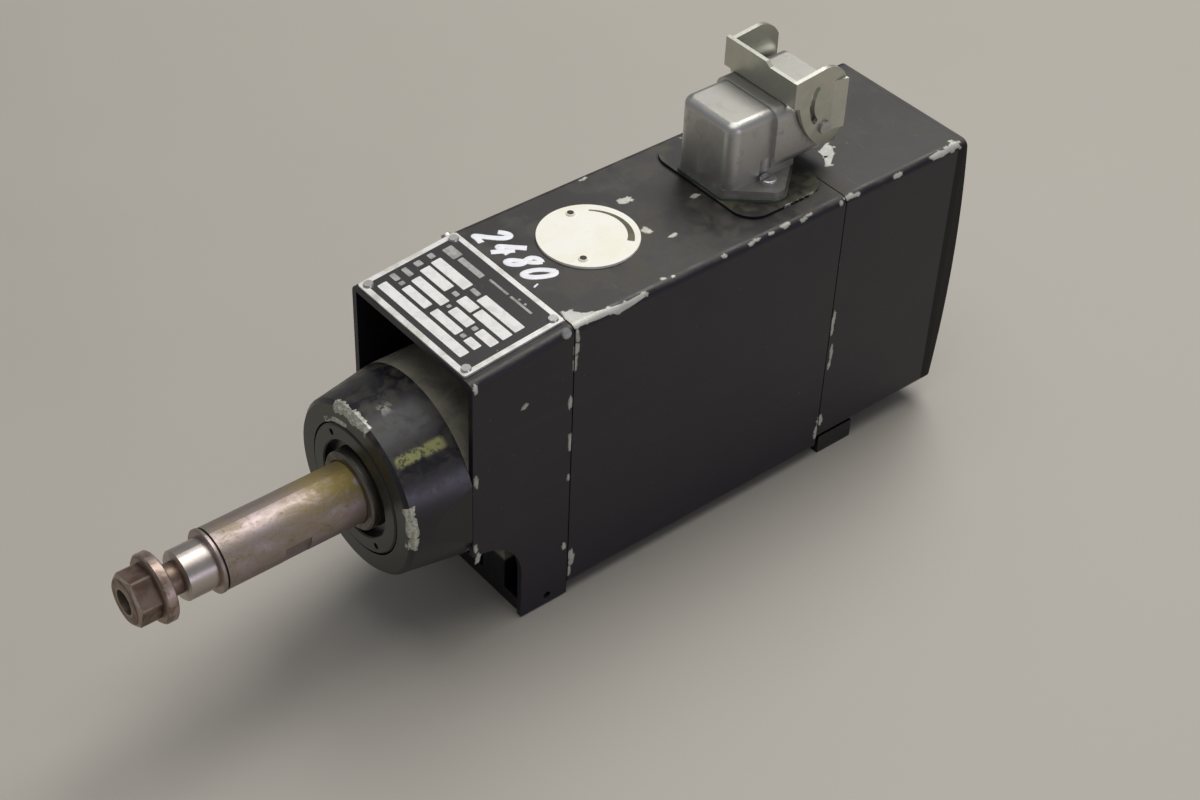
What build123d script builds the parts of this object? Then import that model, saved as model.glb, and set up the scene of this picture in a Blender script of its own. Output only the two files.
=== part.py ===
from build123d import *
from math import asin, cos, degrees, pi, radians, sin, sqrt
import os

os.makedirs("parts", exist_ok=True)

# Motor spindle, in millimetres. X runs along the spindle towards the tool, Z is up.
# The origin is on the spindle axis, in the shoulder that the tool seats against.

# Clearances
fit_gap = 0.04          # radial, between a fixed ring or pin and its seat
run_gap = 0.05          # radial, between a turning pin and its bore
seal_gap = 0.3          # radial, between surfaces that turn past each other
pocket_gap = 0.15       # between a ball and its pocket in the cage
seam_gap = 0.2          # from a seam's middle to each sheet's edge
face_gap = 0.2          # between casting and sheet

# Casing
foot_stand = 3.4        # shroud's lower edge above the surface that the feet stand on
body_width = 60.0
body_height = 105.2     # of the stator shroud, centred on the axis
wall = 2.0
bend_r = 2.6            # outer radius of the sheets' bends
hood_length = 36.9
hood_drop = 3.7         # fall of the hood's top towards its open front
hood_notch_r = 17.5     # radius of the cut at the hood's lower front
hood_notch_low = 16.7   # straight part of that cut, above the shroud's lower edge
hood_foot_length = 18.4
hood_clear = 0.6        # hood's lower edge above the standing surface
shroud_length = 109.0
cover_length = 52.9
cover_lift = 4.1        # cover's lower edge above the shroud's

# Nose, measured from the shoulder that the tool seats against
shaft_reach = 51.4      # shoulder to nose face
nose_proud = 21.6       # nose face to the hood's front edge
nose_gap = 0.2          # nose's root to the hood's front edge
nose_face_r = 29.0
nose_root_r = 32.0
nose_chamfer = 1.3
nose_shoulder = 3.0
spigot_wall = 2.5

# Shaft and tool seat
seat_r = 8.0
seat_length = 9.9
shaft_r = 10.0
collar_width = 1.2
collar_r = 10.25
groove_width = 0.7
groove_depth = 0.6
spanner_across = 18.0
spanner_length = 9.0
spanner_x = -25.1       # middle of the spanner flats
spanner_angle = -23.0   # their direction, from +Y towards +Z
rotor_seat_r = 12.0
rotor_seat_setback = 8.5  # behind the front bearings
rear_shaft_r = 7.5

# Clamp screw, shown backed out as in use when a tool is changed
thread_r = 5.0
thread_pitch = 1.5
clamp_open = 5.1        # seat's end to the washer
washer_r = 11.0
washer_thick = 3.8
head_across = 15.0
head_height = 7.8
head_recess_r = 4.0
head_recess_depth = 4.5
screw_length = 28.0

# Front bearings, a pair of 20 x 42 x 12
front_bore_r = shaft_r
front_outer_r = 21.0
front_width = 12.0
front_ball_r = 3.0
front_ball_count = 8
front_cage_half = 0.9   # half the cage's radial thickness
front_cage_length = 6.4
spacer_width = 4.0
cap_thick = 5.1
cap_joint = 0.5
cap_bore_r = 13.2
cap_recess_r = 16.0
cap_recess = 2.9
cap_proud = 0.4
labyrinth_proud = 2.4

# Rear bearing, 15 x 32 x 9
rear_outer_r = 16.0
rear_width = 9.0
rear_ball_r = 2.3
rear_ball_count = 8
rear_cage_half = 0.7
rear_cage_length = 5.0
spring_height = 0.9

# Castings
plate_thick = 9.0
front_plate_lap = 4.9   # front bell's plate ahead of the seam
rear_plate_lap = 4.1    # rear bell's plate behind the seam
hub_r = 32.0
rear_hub_r = 20.0
foot_thick = 5.2
foot_hole_r = 2.5
foot_hole_depth = 12.0
foot_hole_across = 28.0
front_foot_inset = 9.4  # foot hole ahead of the front seam
rear_foot_inset = 9.6   # foot hole behind the rear seam
rear_foot_length = 15.5
leg_outer = 19.8
leg_inner = 8.5
rear_leg_drop = 14.0     # rear legs' upper ends below the axis, inside the hub
window_round = 3.0
window_web = 2.4        # least metal above and below a window
leg_window_web = 1.0    # window's side to the leg's inner side
side_window_web = 5.5   # between two windows of the rear bell
side_window_width = 8.0
air_window_width = 34.0
rear_shaft_room = 5.0   # radial, round the shaft in the rear bell's plate

# Motor
core_length = 66.0
stator_room = 5.6       # stator core's crown to the shroud's inside
core_side_wall = 2.8    # behind the slots, at the core's flat sides
air_gap = 0.3
rotor_wall = 5.0         # rotor's crown above the shaft's seat
slot_count = 12
slot_width = 4.4
slot_mouth = 2.0
slot_start = 1.1        # bore to the slot's wide part
winding_gap = 0.2
end_turn_length = 13.0
end_ring_length = 6.0
tie_rod_r = 2.0
tie_nut_across = 7.0
tie_nut_height = 3.2
tie_inset_y = 3.8       # shroud's inside to the rod's middle, sideways
tie_inset_z = 6.2       # and upwards
tie_end = 1.0
nose_screw_r = 2.0
nose_screw_ring = 27.7
nose_screw_angle = 35.0
nose_screw_length = 46.0
lead_r = 0.9
lead_bend_r = 5.0

# Fan
fan_r = 25.3
fan_hub_r = 11.5
fan_height = 15.0
fan_disc = 1.6
fan_blades = 9
fan_blade_thick = 1.4
fan_inset = 24.1        # rear seam to the fan's disc
nut_height = 5.0
nut_r = 11.5
clip_thick = 1.2
clip_r = 10.2

# End plate
end_plate_thick = 1.6
end_plate_bow = 3.0
air_slot_length = 36.0
air_slot_width = 3.2
air_slot_pitch = 6.6
air_slot_rows = 9

# Small screws and rivets
m3_r = 1.5
m3_head_r = 2.8
m3_head_height = 1.8
m3_slot_width = 0.8
m3_slot_depth = 0.8
end_screw_inset = 6.0
end_screw_length = 8.0
hood_screw_r = 1.0
hood_screw_head_r = 1.7
hood_screw_head_height = 0.9
hood_screw_slot = 0.5
hood_screw_lap = 2.6
hood_screw_length = 5.5
side_hole_r = 1.3
side_hole_rise = 4.0
side_hole_inset = 8.0

# Plates
nameplate_length = 36.2
nameplate_width = 53.4
nameplate_thick = 0.7
nameplate_shift = -1.0
rivet_r = 1.0
rivet_head_r = 1.7
rivet_inset = 2.4
label_r = 16.0
label_thick = 0.8
label_inset = 30.7      # front seam to the label's middle
label_shift = -2.2
label_pin_ring = 12.2
label_pin_angles = (44.0, 258.0)
label_pin_r = 0.8

# Connector
conn_inset = 18.9       # rear seam to the connector's middle
conn_shift = -1.7
conn_width = 24.7
conn_front = 14.5       # middle to the front of the housing
conn_cube = 27.5        # length of the housing's square block
conn_length = 43.5      # front of the housing to its mouth
conn_height = 23.5
conn_round = 4.0
conn_wall = 2.6
mouth_round = 2.0
cavity_end_extra = 1.0  # thicker wall at the housing's front
screw_head_room = 7.0   # height cut free above the flange screws
collar_step = 0.6       # collar above the block
collar_side_step = 1.85
collar_length = 26.5
collar_lift = 2.0
flange_thick = 2.5
flange_half_length = 14.5
flange_half_width = 20.8
flange_side_half = 10.0
flange_end_half = 1.6
conn_screw_across = 30.0
gasket_thick = 1.0
gasket_margin = 0.8
pad_thick = 1.0
pad_length = 34.0
pad_width = 48.2
pad_lead = 1.3          # pad ahead of the flange
pad_round = 8.0
cable_hole_r = 7.0
insert_depth = 8.0      # mouth to the insert
insert_length = 12.0
contact_r = 1.25
contact_reach = 7.0
contact_spread = 4.5
lever_thick = 1.5
lever_gap = 0.5
lever_pivot_back = 21.0  # connector's middle to the pivot
lever_pivot_rise = 13.0  # above the flange
lever_pin_r = 2.25
lever_pin_proud = 1.0
lever_bar_ahead = 14.0
lever_bar_low = 11.5
lever_bar_near_top = 20.4
lever_bar_far_top = 21.8
lever_bar_step = 4.0
lever_rear = 7.5         # pivot to the arm's straight rear edge
lever_slot_width = 2.0
lever_slot_points = ((4.6, 15.2), (6.2, 10.0), (4.2, 3.6))
# Points of the arm's outline, ahead of the pivot and above it
lever_heel = (-lever_rear, -2.0)
lever_sole = (-2.5, -6.9)
lever_toe = (3.4, -4.6)
lever_shin = (9.2, 3.6)
lever_knee = (11.6, 10.7)
lever_crest = (1.5, 21.7)
lever_shoulder = (-3.8, 20.2)
lever_back = (-lever_rear, 15.8)
lever_lip = 1.3          # how far the bent rear strip leans outwards
lever_lip_start = 2.7    # pivot to the bend

# Places along X
nose_face_x = -shaft_reach
hood_front_x = nose_face_x - nose_proud
nose_root_x = hood_front_x + nose_gap
seam_1_x = hood_front_x - hood_length
seam_2_x = seam_1_x - shroud_length
cover_rear_x = seam_2_x - cover_length
cap_rear_x = nose_face_x - cap_thick
bearing_1_x = cap_rear_x - front_width / 2
bearing_2_x = bearing_1_x - front_width - spacer_width
bearing_end_x = bearing_2_x - front_width / 2
spigot_end_x = bearing_end_x - nose_shoulder
front_plate_x = seam_1_x + front_plate_lap
front_plate_rear_x = front_plate_x - plate_thick
rear_plate_x = seam_2_x - rear_plate_lap
rear_plate_front_x = rear_plate_x + plate_thick
core_middle_x = seam_1_x - shroud_length / 2
core_front_x = core_middle_x + core_length / 2
core_rear_x = core_middle_x - core_length / 2
rear_bearing_front_x = rear_plate_x - 1.5
rear_bearing_x = rear_bearing_front_x - rear_width / 2
rear_bearing_end_x = rear_bearing_front_x - rear_width
nut_end_x = rear_bearing_end_x - nut_height
fan_x = seam_2_x - fan_inset
fan_end_x = fan_x - fan_height
clip_x = fan_end_x - fit_gap
shaft_end_x = clip_x - clip_thick - 2.0
front_foot_x = seam_1_x + front_foot_inset
rear_foot_x = seam_2_x - rear_foot_inset
conn_x = seam_2_x + conn_inset
label_x = seam_1_x - label_inset

# Places across and up
half_width = body_width / 2
half_height = body_height / 2
axis_height = half_height + foot_stand
inner_half_width = half_width - wall
inner_half_height = half_height - wall
bell_half_width = inner_half_width - face_gap
bell_half_height = inner_half_height - hood_drop * front_plate_lap / hood_length - face_gap
floor_z = -axis_height
cover_bottom_z = cover_lift - half_height
hood_front_z = half_height - hood_drop
stator_r = inner_half_height - stator_room
rotor_r = rotor_seat_r + rotor_wall
bore_r = rotor_r + air_gap
slot_depth = bell_half_width - core_side_wall - slot_start - bore_r
tie_y = inner_half_width - tie_inset_y
tie_z = inner_half_height - tie_inset_z
pad_z = half_height + pad_thick
gasket_z = pad_z + gasket_thick
flange_z = gasket_z + flange_thick
conn_top_z = flange_z + conn_height
pivot_x = conn_x - lever_pivot_back
pivot_z = flange_z + lever_pivot_rise
spigot_r = front_outer_r + spigot_wall
leg_window_width = 2 * (leg_inner - leg_window_web)
front_window_height = bell_half_height - hub_r - 2 * window_web
front_window_round = min(window_round, front_window_height / 3)
rear_window_height = bell_half_height - rear_hub_r - 2 * window_web - window_round
rear_window_z = (bell_half_height + rear_hub_r) / 2
side_window_y = (leg_window_width + side_window_width) / 2 + side_window_web

parts = []


def keep(piece, name):
    """Name a finished piece and write it out."""
    piece.part.label = name
    export_step(piece.part, f"parts/{name}.step")
    parts.append(piece.part)


def turned(points):
    """A solid of revolution about the spindle axis, from (x, radius) points."""
    with BuildPart() as piece:
        with BuildSketch(Plane.XZ):
            with BuildLine():
                Polyline(*points, close=True)
            make_face()
        revolve(axis=Axis.X)
    return piece


def ring_points(x_rear, x_front, inner, outer):
    """Outline of a plain ring between two places along the axis."""
    return [(x_rear, inner), (x_front, inner), (x_front, outer), (x_rear, outer)]


# Sheet casing: the long shroud round the stator
with BuildPart() as stator_shroud:
    with BuildSketch(Plane.YZ.offset(seam_2_x + seam_gap)):
        RectangleRounded(body_width, body_height, bend_r)
        RectangleRounded(2 * inner_half_width, 2 * inner_half_height, bend_r - wall, mode=Mode.SUBTRACT)
    extrude(amount=shroud_length - 2 * seam_gap)
    with BuildSketch(Plane.XY.offset(inner_half_height - wall)):
        with Locations((conn_x, conn_shift)):
            Circle(cable_hole_r)
    extrude(amount=3 * wall, mode=Mode.SUBTRACT)
    with BuildSketch(Plane.XY.offset(inner_half_height - wall)):
        with Locations((label_x, label_shift)):
            for angle in label_pin_angles:
                with PolarLocations(label_pin_ring, 1, start_angle=angle):
                    Circle(label_pin_r + fit_gap)
        with Locations((conn_x, conn_shift)):
            with GridLocations(1, conn_screw_across, 1, 2):
                Circle(m3_r + fit_gap)
    extrude(amount=3 * wall, mode=Mode.SUBTRACT)
keep(stator_shroud, "stator_shroud")

# The hood: sloping top and two sides, cut away round the underside of the nose
slope_length = sqrt(hood_length**2 + hood_drop**2)
hood_rear_x = seam_1_x + seam_gap
hood_foot_x = seam_1_x + hood_foot_length
notch_top_z = hood_notch_low + hood_notch_r - half_height
slope_plane = Plane(
    origin=((seam_1_x + hood_front_x) / 2, 0, (half_height + hood_front_z) / 2),
    x_dir=(hood_length, 0, -hood_drop),
    z_dir=(hood_drop, 0, hood_length),
)
rivet_places = [
    (i * (nameplate_length / 2 - rivet_inset), nameplate_shift + j * (nameplate_width / 2 - rivet_inset))
    for i in (-1, 1)
    for j in (-1, 1)
]
hood_screw_x = hood_rear_x + hood_screw_lap
hood_screw_z = half_height - hood_drop * (hood_screw_x - seam_1_x) / hood_length - bend_r * (1 - sqrt(0.5))
hood_screw_y = half_width - bend_r * (1 - sqrt(0.5))
hood_screw_planes = [
    Plane(
        origin=(hood_screw_x, way * hood_screw_y, hood_screw_z),
        x_dir=(hood_length, 0, -hood_drop),
        z_dir=(hood_drop / hood_length, way, 1),
    ).offset(fit_gap)
    for way in (1, -1)
]
with BuildPart() as front_hood:
    with BuildSketch(Plane.XZ.offset(-half_width)):
        with BuildLine():
            Polyline(
                (hood_foot_x, notch_top_z - hood_notch_r),
                (hood_foot_x, floor_z + hood_clear),
                (hood_rear_x, floor_z + hood_clear),
                (hood_rear_x, half_height),
                (hood_front_x, hood_front_z),
                (hood_front_x, notch_top_z),
                (hood_foot_x + hood_notch_r, notch_top_z),
            )
            ThreePointArc(
                (hood_foot_x + hood_notch_r, notch_top_z),
                (
                    hood_foot_x + hood_notch_r * (1 - cos(pi / 4)),
                    notch_top_z - hood_notch_r * (1 - sin(pi / 4)),
                ),
                (hood_foot_x, notch_top_z - hood_notch_r),
            )
        make_face()
    extrude(amount=body_width)
    top_bends = front_hood.edges().filter_by(
        lambda edge: abs(edge.center().Y) > half_width - 0.01 and edge.center().Z > hood_front_z
    )
    fillet(top_bends, bend_r)
    with BuildSketch(Plane.XZ.offset(-inner_half_width)):
        Polygon(
            (seam_1_x - wall, -axis_height - wall),
            (hood_front_x + nose_proud, -axis_height - wall),
            (hood_front_x + nose_proud, hood_front_z - wall - hood_drop * nose_proud / hood_length),
            (seam_1_x - wall, inner_half_height + hood_drop * wall / hood_length),
            align=None,
        )
    extrude(amount=2 * inner_half_width, mode=Mode.SUBTRACT)
    with BuildSketch(slope_plane.offset(-2 * wall)):
        with Locations(*rivet_places):
            Circle(rivet_r + fit_gap)
    extrude(amount=3 * wall, mode=Mode.SUBTRACT)
    for screw_plane in hood_screw_planes:
        with BuildSketch(screw_plane):
            Circle(hood_screw_r + run_gap)
        extrude(amount=2 * wall, both=True, mode=Mode.SUBTRACT)
    with BuildSketch(Plane.XZ.offset(-half_width - wall)):
        with Locations((seam_1_x + side_hole_inset, floor_z + side_hole_rise)):
            Circle(side_hole_r)
    extrude(amount=body_width + 2 * wall, mode=Mode.SUBTRACT)
keep(front_hood, "front_hood")

# Fan cover: a sheet tube, open below where the rear foot comes through, its rear edge bowed
cover_front_x = seam_2_x - seam_gap
cover_middle_z = (half_height + cover_bottom_z) / 2
cover_height = half_height - cover_bottom_z
bow_r = (cover_height**2 / 4 + end_plate_bow**2) / (2 * end_plate_bow)
bow_centre_x = cover_rear_x - end_plate_bow + bow_r
lug_size = 8.0
lug_length = 12.0
end_screw_y = half_width - end_screw_inset
end_screw_top = half_height - end_screw_inset
end_screw_low = cover_bottom_z + end_screw_inset
end_screw_places = [(y, z) for y in (-end_screw_y, end_screw_y) for z in (end_screw_low, end_screw_top)]
end_screw_x = bow_centre_x - sqrt((bow_r + end_plate_thick) ** 2 - (cover_height / 2 - end_screw_inset) ** 2)
cover_open_x = rear_foot_x - rear_foot_length / 2 - 1.0
bow_plane = Plane.XZ.offset(-body_width)
with BuildPart() as fan_cover:
    with BuildSketch(Plane.YZ.offset(cover_rear_x - end_plate_bow)):
        with Locations((0, cover_middle_z)):
            RectangleRounded(body_width, cover_height, bend_r)
            RectangleRounded(body_width - 2 * wall, cover_height - 2 * wall, bend_r - wall, mode=Mode.SUBTRACT)
    extrude(amount=cover_front_x - cover_rear_x + end_plate_bow)
    with BuildSketch(Plane.YZ.offset(cover_rear_x - end_plate_bow)):
        with Locations(*end_screw_places):
            Rectangle(lug_size + 2 * fit_gap, lug_size + 2 * fit_gap)
    extrude(amount=lug_length)
    with BuildSketch(bow_plane):
        with Locations((bow_centre_x, cover_middle_z)):
            Circle(bow_r - fit_gap)
        with Locations((cover_rear_x, cover_middle_z)):
            Rectangle(4 * cover_length, 2 * cover_height, mode=Mode.INTERSECT)
    extrude(amount=2 * body_width, mode=Mode.INTERSECT)
    with BuildSketch(Plane.YZ.offset(cover_rear_x - end_plate_bow)):
        with Locations(*end_screw_places):
            Circle(m3_r + fit_gap)
    extrude(amount=end_screw_length + end_plate_bow, mode=Mode.SUBTRACT)
    with BuildSketch(Plane.XY.offset(cover_bottom_z - wall)):
        with Locations(((cover_open_x + cover_front_x) / 2, 0)):
            Rectangle(cover_front_x - cover_open_x + 2 * seam_gap, 2 * inner_half_width)
    extrude(amount=3 * wall, mode=Mode.SUBTRACT)
keep(fan_cover, "fan_cover")

# End plate: a sheet bowed outwards between its upper and lower edges, with rows of air slots
with BuildPart() as rear_plate:
    with BuildSketch(bow_plane):
        with Locations((bow_centre_x, cover_middle_z)):
            Circle(bow_r + end_plate_thick)
            Circle(bow_r, mode=Mode.SUBTRACT)
        with Locations((cover_rear_x, cover_middle_z)):
            Rectangle(4 * end_plate_bow, cover_height, mode=Mode.INTERSECT)
    extrude(amount=2 * body_width)
    with BuildSketch(Plane.YZ.offset(cover_rear_x - 4 * end_plate_bow)):
        with Locations((0, cover_middle_z)):
            RectangleRounded(body_width, cover_height, bend_r)
            with GridLocations(1, air_slot_pitch, 1, air_slot_rows):
                SlotOverall(air_slot_length, air_slot_width, mode=Mode.SUBTRACT)
        with Locations(*end_screw_places):
            Circle(m3_r + run_gap, mode=Mode.SUBTRACT)
    extrude(amount=6 * end_plate_bow, mode=Mode.INTERSECT)
keep(rear_plate, "rear_plate")


def slotted_screws(plane, places, length):
    """Pan-head screws with their heads on a plane and their shanks going down from it."""
    with BuildPart() as screws:
        with BuildSketch(plane):
            with Locations(*places):
                Circle(m3_head_r)
        extrude(amount=m3_head_height)
        fillet(screws.faces().sort_by(Axis((0, 0, 0), plane.z_dir))[-len(places):].edges(), 0.6)
        with BuildSketch(plane):
            with Locations(*places):
                Circle(m3_r)
        extrude(amount=-length)
        with BuildSketch(plane.offset(m3_head_height - m3_slot_depth)):
            with Locations(*places):
                Rectangle(3 * m3_head_r, m3_slot_width)
        extrude(amount=2 * m3_slot_depth, mode=Mode.SUBTRACT)
    return screws


head_lift = m3_head_r * (cover_height / 2 - end_screw_inset) / bow_r
rear_screw_plane = Plane(origin=(end_screw_x - head_lift, 0, 0), x_dir=(0, -1, 0), z_dir=(-1, 0, 0))
keep(
    slotted_screws(rear_screw_plane, [(-y, z) for y, z in end_screw_places], end_screw_length),
    "rear_plate_screws",
)
with BuildPart() as hood_screws:
    for screw_plane in hood_screw_planes:
        with BuildSketch(screw_plane):
            Circle(hood_screw_head_r)
        extrude(amount=hood_screw_head_height, taper=20)
        with BuildSketch(screw_plane):
            Circle(hood_screw_r)
        extrude(amount=-hood_screw_length)
        with BuildSketch(screw_plane.offset(hood_screw_head_height / 2)):
            Rectangle(3 * hood_screw_head_r, hood_screw_slot)
        extrude(amount=hood_screw_head_height, mode=Mode.SUBTRACT)
keep(hood_screws, "hood_screws")

# Front bell: plate with air windows, round hub cut flat at the sides, two legs and a foot
tie_places = [(y, z) for y in (-tie_y, tie_y) for z in (-tie_z, tie_z)]
nose_screw_places = [
    (i * nose_screw_ring * sin(radians(nose_screw_angle)), j * nose_screw_ring * cos(radians(nose_screw_angle)))
    for i in (-1, 1)
    for j in (-1, 1)
]
front_foot_front_x = hood_foot_x - 1.2
front_foot_rear_x = seam_1_x + seam_gap
shaft_hole_r = rotor_seat_r + 1.5
with BuildPart() as front_end_bell:
    with BuildSketch(Plane.YZ.offset(front_plate_rear_x)):
        RectangleRounded(2 * bell_half_width, 2 * bell_half_height, bend_r)
    extrude(amount=plate_thick)
    with BuildSketch(Plane.YZ.offset(front_plate_rear_x)):
        Circle(hub_r)
        Rectangle(2 * bell_half_width, 2 * hub_r, mode=Mode.INTERSECT)
    extrude(amount=nose_root_x - front_plate_rear_x)
    with BuildSketch(Plane.XY.offset(floor_z)):
        with Locations(((front_foot_front_x + front_foot_rear_x) / 2, 0)):
            Rectangle(front_foot_front_x - front_foot_rear_x, 2 * bell_half_width)
    extrude(amount=foot_thick)
    with BuildSketch(Plane.XY.offset(floor_z)):
        with Locations(
            ((front_foot_front_x + front_foot_rear_x) / 2, (leg_outer + leg_inner) / 2),
            ((front_foot_front_x + front_foot_rear_x) / 2, -(leg_outer + leg_inner) / 2),
        ):
            Rectangle(front_foot_front_x - front_foot_rear_x, leg_outer - leg_inner)
    extrude(amount=axis_height - sqrt(hub_r**2 - leg_outer**2) + 1.0)
    with BuildSketch(Plane.YZ.offset(front_plate_rear_x)):
        Circle(shaft_hole_r)
    extrude(amount=nose_root_x - front_plate_rear_x, mode=Mode.SUBTRACT)
    with BuildSketch(Plane.YZ.offset(spigot_end_x - seal_gap)):
        Circle(spigot_r + fit_gap)
    extrude(amount=nose_root_x - spigot_end_x + seal_gap, mode=Mode.SUBTRACT)
    with BuildSketch(Plane.YZ.offset(front_plate_rear_x)):
        with Locations((0, (hub_r + bell_half_height) / 2)):
            RectangleRounded(air_window_width, front_window_height, front_window_round)
        with Locations((0, -(hub_r + bell_half_height) / 2)):
            RectangleRounded(leg_window_width, front_window_height, front_window_round)
    extrude(amount=plate_thick, mode=Mode.SUBTRACT)
    with BuildSketch(Plane.YZ.offset(front_plate_rear_x)):
        with Locations(*tie_places):
            Circle(tie_rod_r + fit_gap)
    extrude(amount=plate_thick, mode=Mode.SUBTRACT)
    with BuildSketch(Plane.YZ.offset(front_plate_rear_x)):
        with Locations(*nose_screw_places):
            Circle(nose_screw_r + fit_gap)
    extrude(amount=nose_root_x - front_plate_rear_x, mode=Mode.SUBTRACT)
    with BuildSketch(Plane.YZ.offset(front_plate_rear_x)):
        with Locations(*nose_screw_places):
            Circle(2 * nose_screw_r - 0.2)
    extrude(amount=2 * nose_screw_r + 0.3, mode=Mode.SUBTRACT)
    with BuildSketch(Plane.XY.offset(floor_z)):
        with Locations((front_foot_x, foot_hole_across / 2), (front_foot_x, -foot_hole_across / 2)):
            Circle(foot_hole_r)
    extrude(amount=foot_hole_depth, mode=Mode.SUBTRACT)
    for screw_plane in hood_screw_planes:
        with BuildSketch(screw_plane.offset(-hood_screw_length - 0.5)):
            Circle(hood_screw_r + fit_gap)
        extrude(amount=2 * hood_screw_length, mode=Mode.SUBTRACT)
keep(front_end_bell, "front_end_bell")

# Nose: tapered outside and cut flat at the sides, bored for the paired bearings
nose_screw_depth = 10.0
nose_outline = turned(
    [
        (nose_face_x, front_outer_r + 0.4 + cap_joint),
        (nose_face_x, nose_face_r - nose_chamfer),
        (nose_face_x - nose_chamfer, nose_face_r),
        (nose_root_x, nose_root_r),
        (nose_root_x, spigot_r),
        (spigot_end_x, spigot_r),
        (spigot_end_x, front_outer_r - nose_shoulder),
        (bearing_end_x, front_outer_r - nose_shoulder),
        (bearing_end_x, front_outer_r + fit_gap),
        (cap_rear_x, front_outer_r + fit_gap),
        (cap_rear_x, front_outer_r + 0.4 + cap_joint),
    ]
)
with BuildPart() as nose_housing:
    add(nose_outline.part)
    with BuildSketch(Plane.YZ.offset(spigot_end_x)):
        Rectangle(body_width, 4 * nose_root_r)
    extrude(amount=nose_face_x - spigot_end_x, mode=Mode.INTERSECT)
    with BuildSketch(Plane.YZ.offset(nose_root_x)):
        with Locations(*nose_screw_places):
            Circle(nose_screw_r + fit_gap)
    extrude(amount=nose_screw_depth, mode=Mode.SUBTRACT)
keep(nose_housing, "nose_housing")

nose_screw_head_x = front_plate_rear_x + 2 * nose_screw_r + 0.3
with BuildPart() as nose_screws:
    with BuildSketch(Plane.YZ.offset(nose_screw_head_x)):
        with Locations(*nose_screw_places):
            Circle(2 * nose_screw_r - 0.5)
    extrude(amount=-2 * nose_screw_r)
    with BuildSketch(Plane.YZ.offset(nose_screw_head_x - 2 * nose_screw_r)):
        with Locations(*nose_screw_places):
            RegularPolygon(1.5, 6, major_radius=False)
    extrude(amount=nose_screw_r, mode=Mode.SUBTRACT)
    with BuildSketch(Plane.YZ.offset(nose_screw_head_x)):
        with Locations(*nose_screw_places):
            Circle(nose_screw_r)
    extrude(amount=nose_root_x + nose_screw_depth - 1.0 - nose_screw_head_x)
keep(nose_screws, "nose_screws")

# Cap ring in the nose face, with two spanner holes
cap_outer_r = front_outer_r + 0.4
cap_outline = turned(
    [
        (cap_rear_x + fit_gap, cap_bore_r),
        (nose_face_x + cap_proud - cap_recess, cap_bore_r),
        (nose_face_x + cap_proud - cap_recess, cap_recess_r),
        (nose_face_x + cap_proud - 0.4, cap_recess_r),
        (nose_face_x + cap_proud, cap_recess_r + 0.4),
        (nose_face_x + cap_proud, cap_outer_r - 0.5),
        (nose_face_x + cap_proud - 0.5, cap_outer_r),
        (cap_rear_x + fit_gap, cap_outer_r),
    ]
)
with BuildPart() as bearing_cap:
    add(cap_outline.part)
    with BuildSketch(Plane.YZ.offset(nose_face_x + cap_proud)):
        with PolarLocations((cap_recess_r + cap_outer_r) / 2, 2, start_angle=125):
            Circle(1.1)
    extrude(amount=-2.5, mode=Mode.SUBTRACT)
keep(bearing_cap, "bearing_cap")

labyrinth_r = cap_bore_r - seal_gap
labyrinth_x = nose_face_x + labyrinth_proud
labyrinth_ring = turned(
    [
        (cap_rear_x + fit_gap, shaft_r + fit_gap),
        (labyrinth_x - 0.4, shaft_r + fit_gap),
        (labyrinth_x, shaft_r + fit_gap + 0.4),
        (labyrinth_x, labyrinth_r - 0.6),
        (labyrinth_x - 0.6, labyrinth_r),
        (labyrinth_x - 1.6, labyrinth_r),
        (labyrinth_x - 1.6, labyrinth_r - 0.8),
        (labyrinth_x - 2.4, labyrinth_r - 0.8),
        (labyrinth_x - 2.4, labyrinth_r),
        (cap_rear_x + fit_gap, labyrinth_r),
    ]
)
keep(labyrinth_ring, "labyrinth_ring")


def bearing_ring(x, width, inner, outer, pitch_r, groove_r):
    """One bearing ring; the groove faces the pitch circle."""
    grooved = outer if pitch_r > outer else inner
    plain = inner if pitch_r > outer else outer
    half = sqrt(groove_r**2 - (pitch_r - grooved) ** 2)
    deep = pitch_r - groove_r if pitch_r > outer else pitch_r + groove_r
    with BuildPart() as piece:
        with BuildSketch(Plane.XZ):
            with BuildLine():
                Polyline(
                    (x - half, grooved),
                    (x - width / 2, grooved),
                    (x - width / 2, plain),
                    (x + width / 2, plain),
                    (x + width / 2, grooved),
                    (x + half, grooved),
                )
                ThreePointArc((x + half, grooved), (x, deep), (x - half, grooved))
            make_face()
        revolve(axis=Axis.X)
    return piece


def ball_set(x, pitch_r, ball_r, count, cage_half, cage_length):
    """Balls in a plain cage ring with a pocket round each."""
    spots = [
        (x, pitch_r * cos(2 * pi * i / count), pitch_r * sin(2 * pi * i / count)) for i in range(count)
    ]
    ring = turned(ring_points(x - cage_length / 2, x + cage_length / 2, pitch_r - cage_half, pitch_r + cage_half))
    with BuildPart() as balls:
        add(ring.part)
        with Locations(*spots):
            Sphere(ball_r + pocket_gap, mode=Mode.SUBTRACT)
        with Locations(*spots):
            Sphere(ball_r)
    return balls


front_pitch_r = (front_bore_r + front_outer_r) / 2
rear_pitch_r = (rear_shaft_r + rear_outer_r) / 2
race_gap = 0.2
front_race = front_ball_r + race_gap
rear_race = rear_ball_r + race_gap
front_inner_out = front_pitch_r - front_ball_r + 0.7
front_outer_in = front_pitch_r + front_ball_r - 0.7
rear_inner_out = rear_pitch_r - rear_ball_r + 0.5
rear_outer_in = rear_pitch_r + rear_ball_r - 0.5
ring_width = front_width - 2 * fit_gap

with BuildPart() as front_bearing_outer_rings:
    for x in (bearing_1_x, bearing_2_x):
        add(bearing_ring(x, ring_width, front_outer_in, front_outer_r, front_pitch_r, front_race).part)
keep(front_bearing_outer_rings, "front_bearing_outer_rings")

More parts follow.
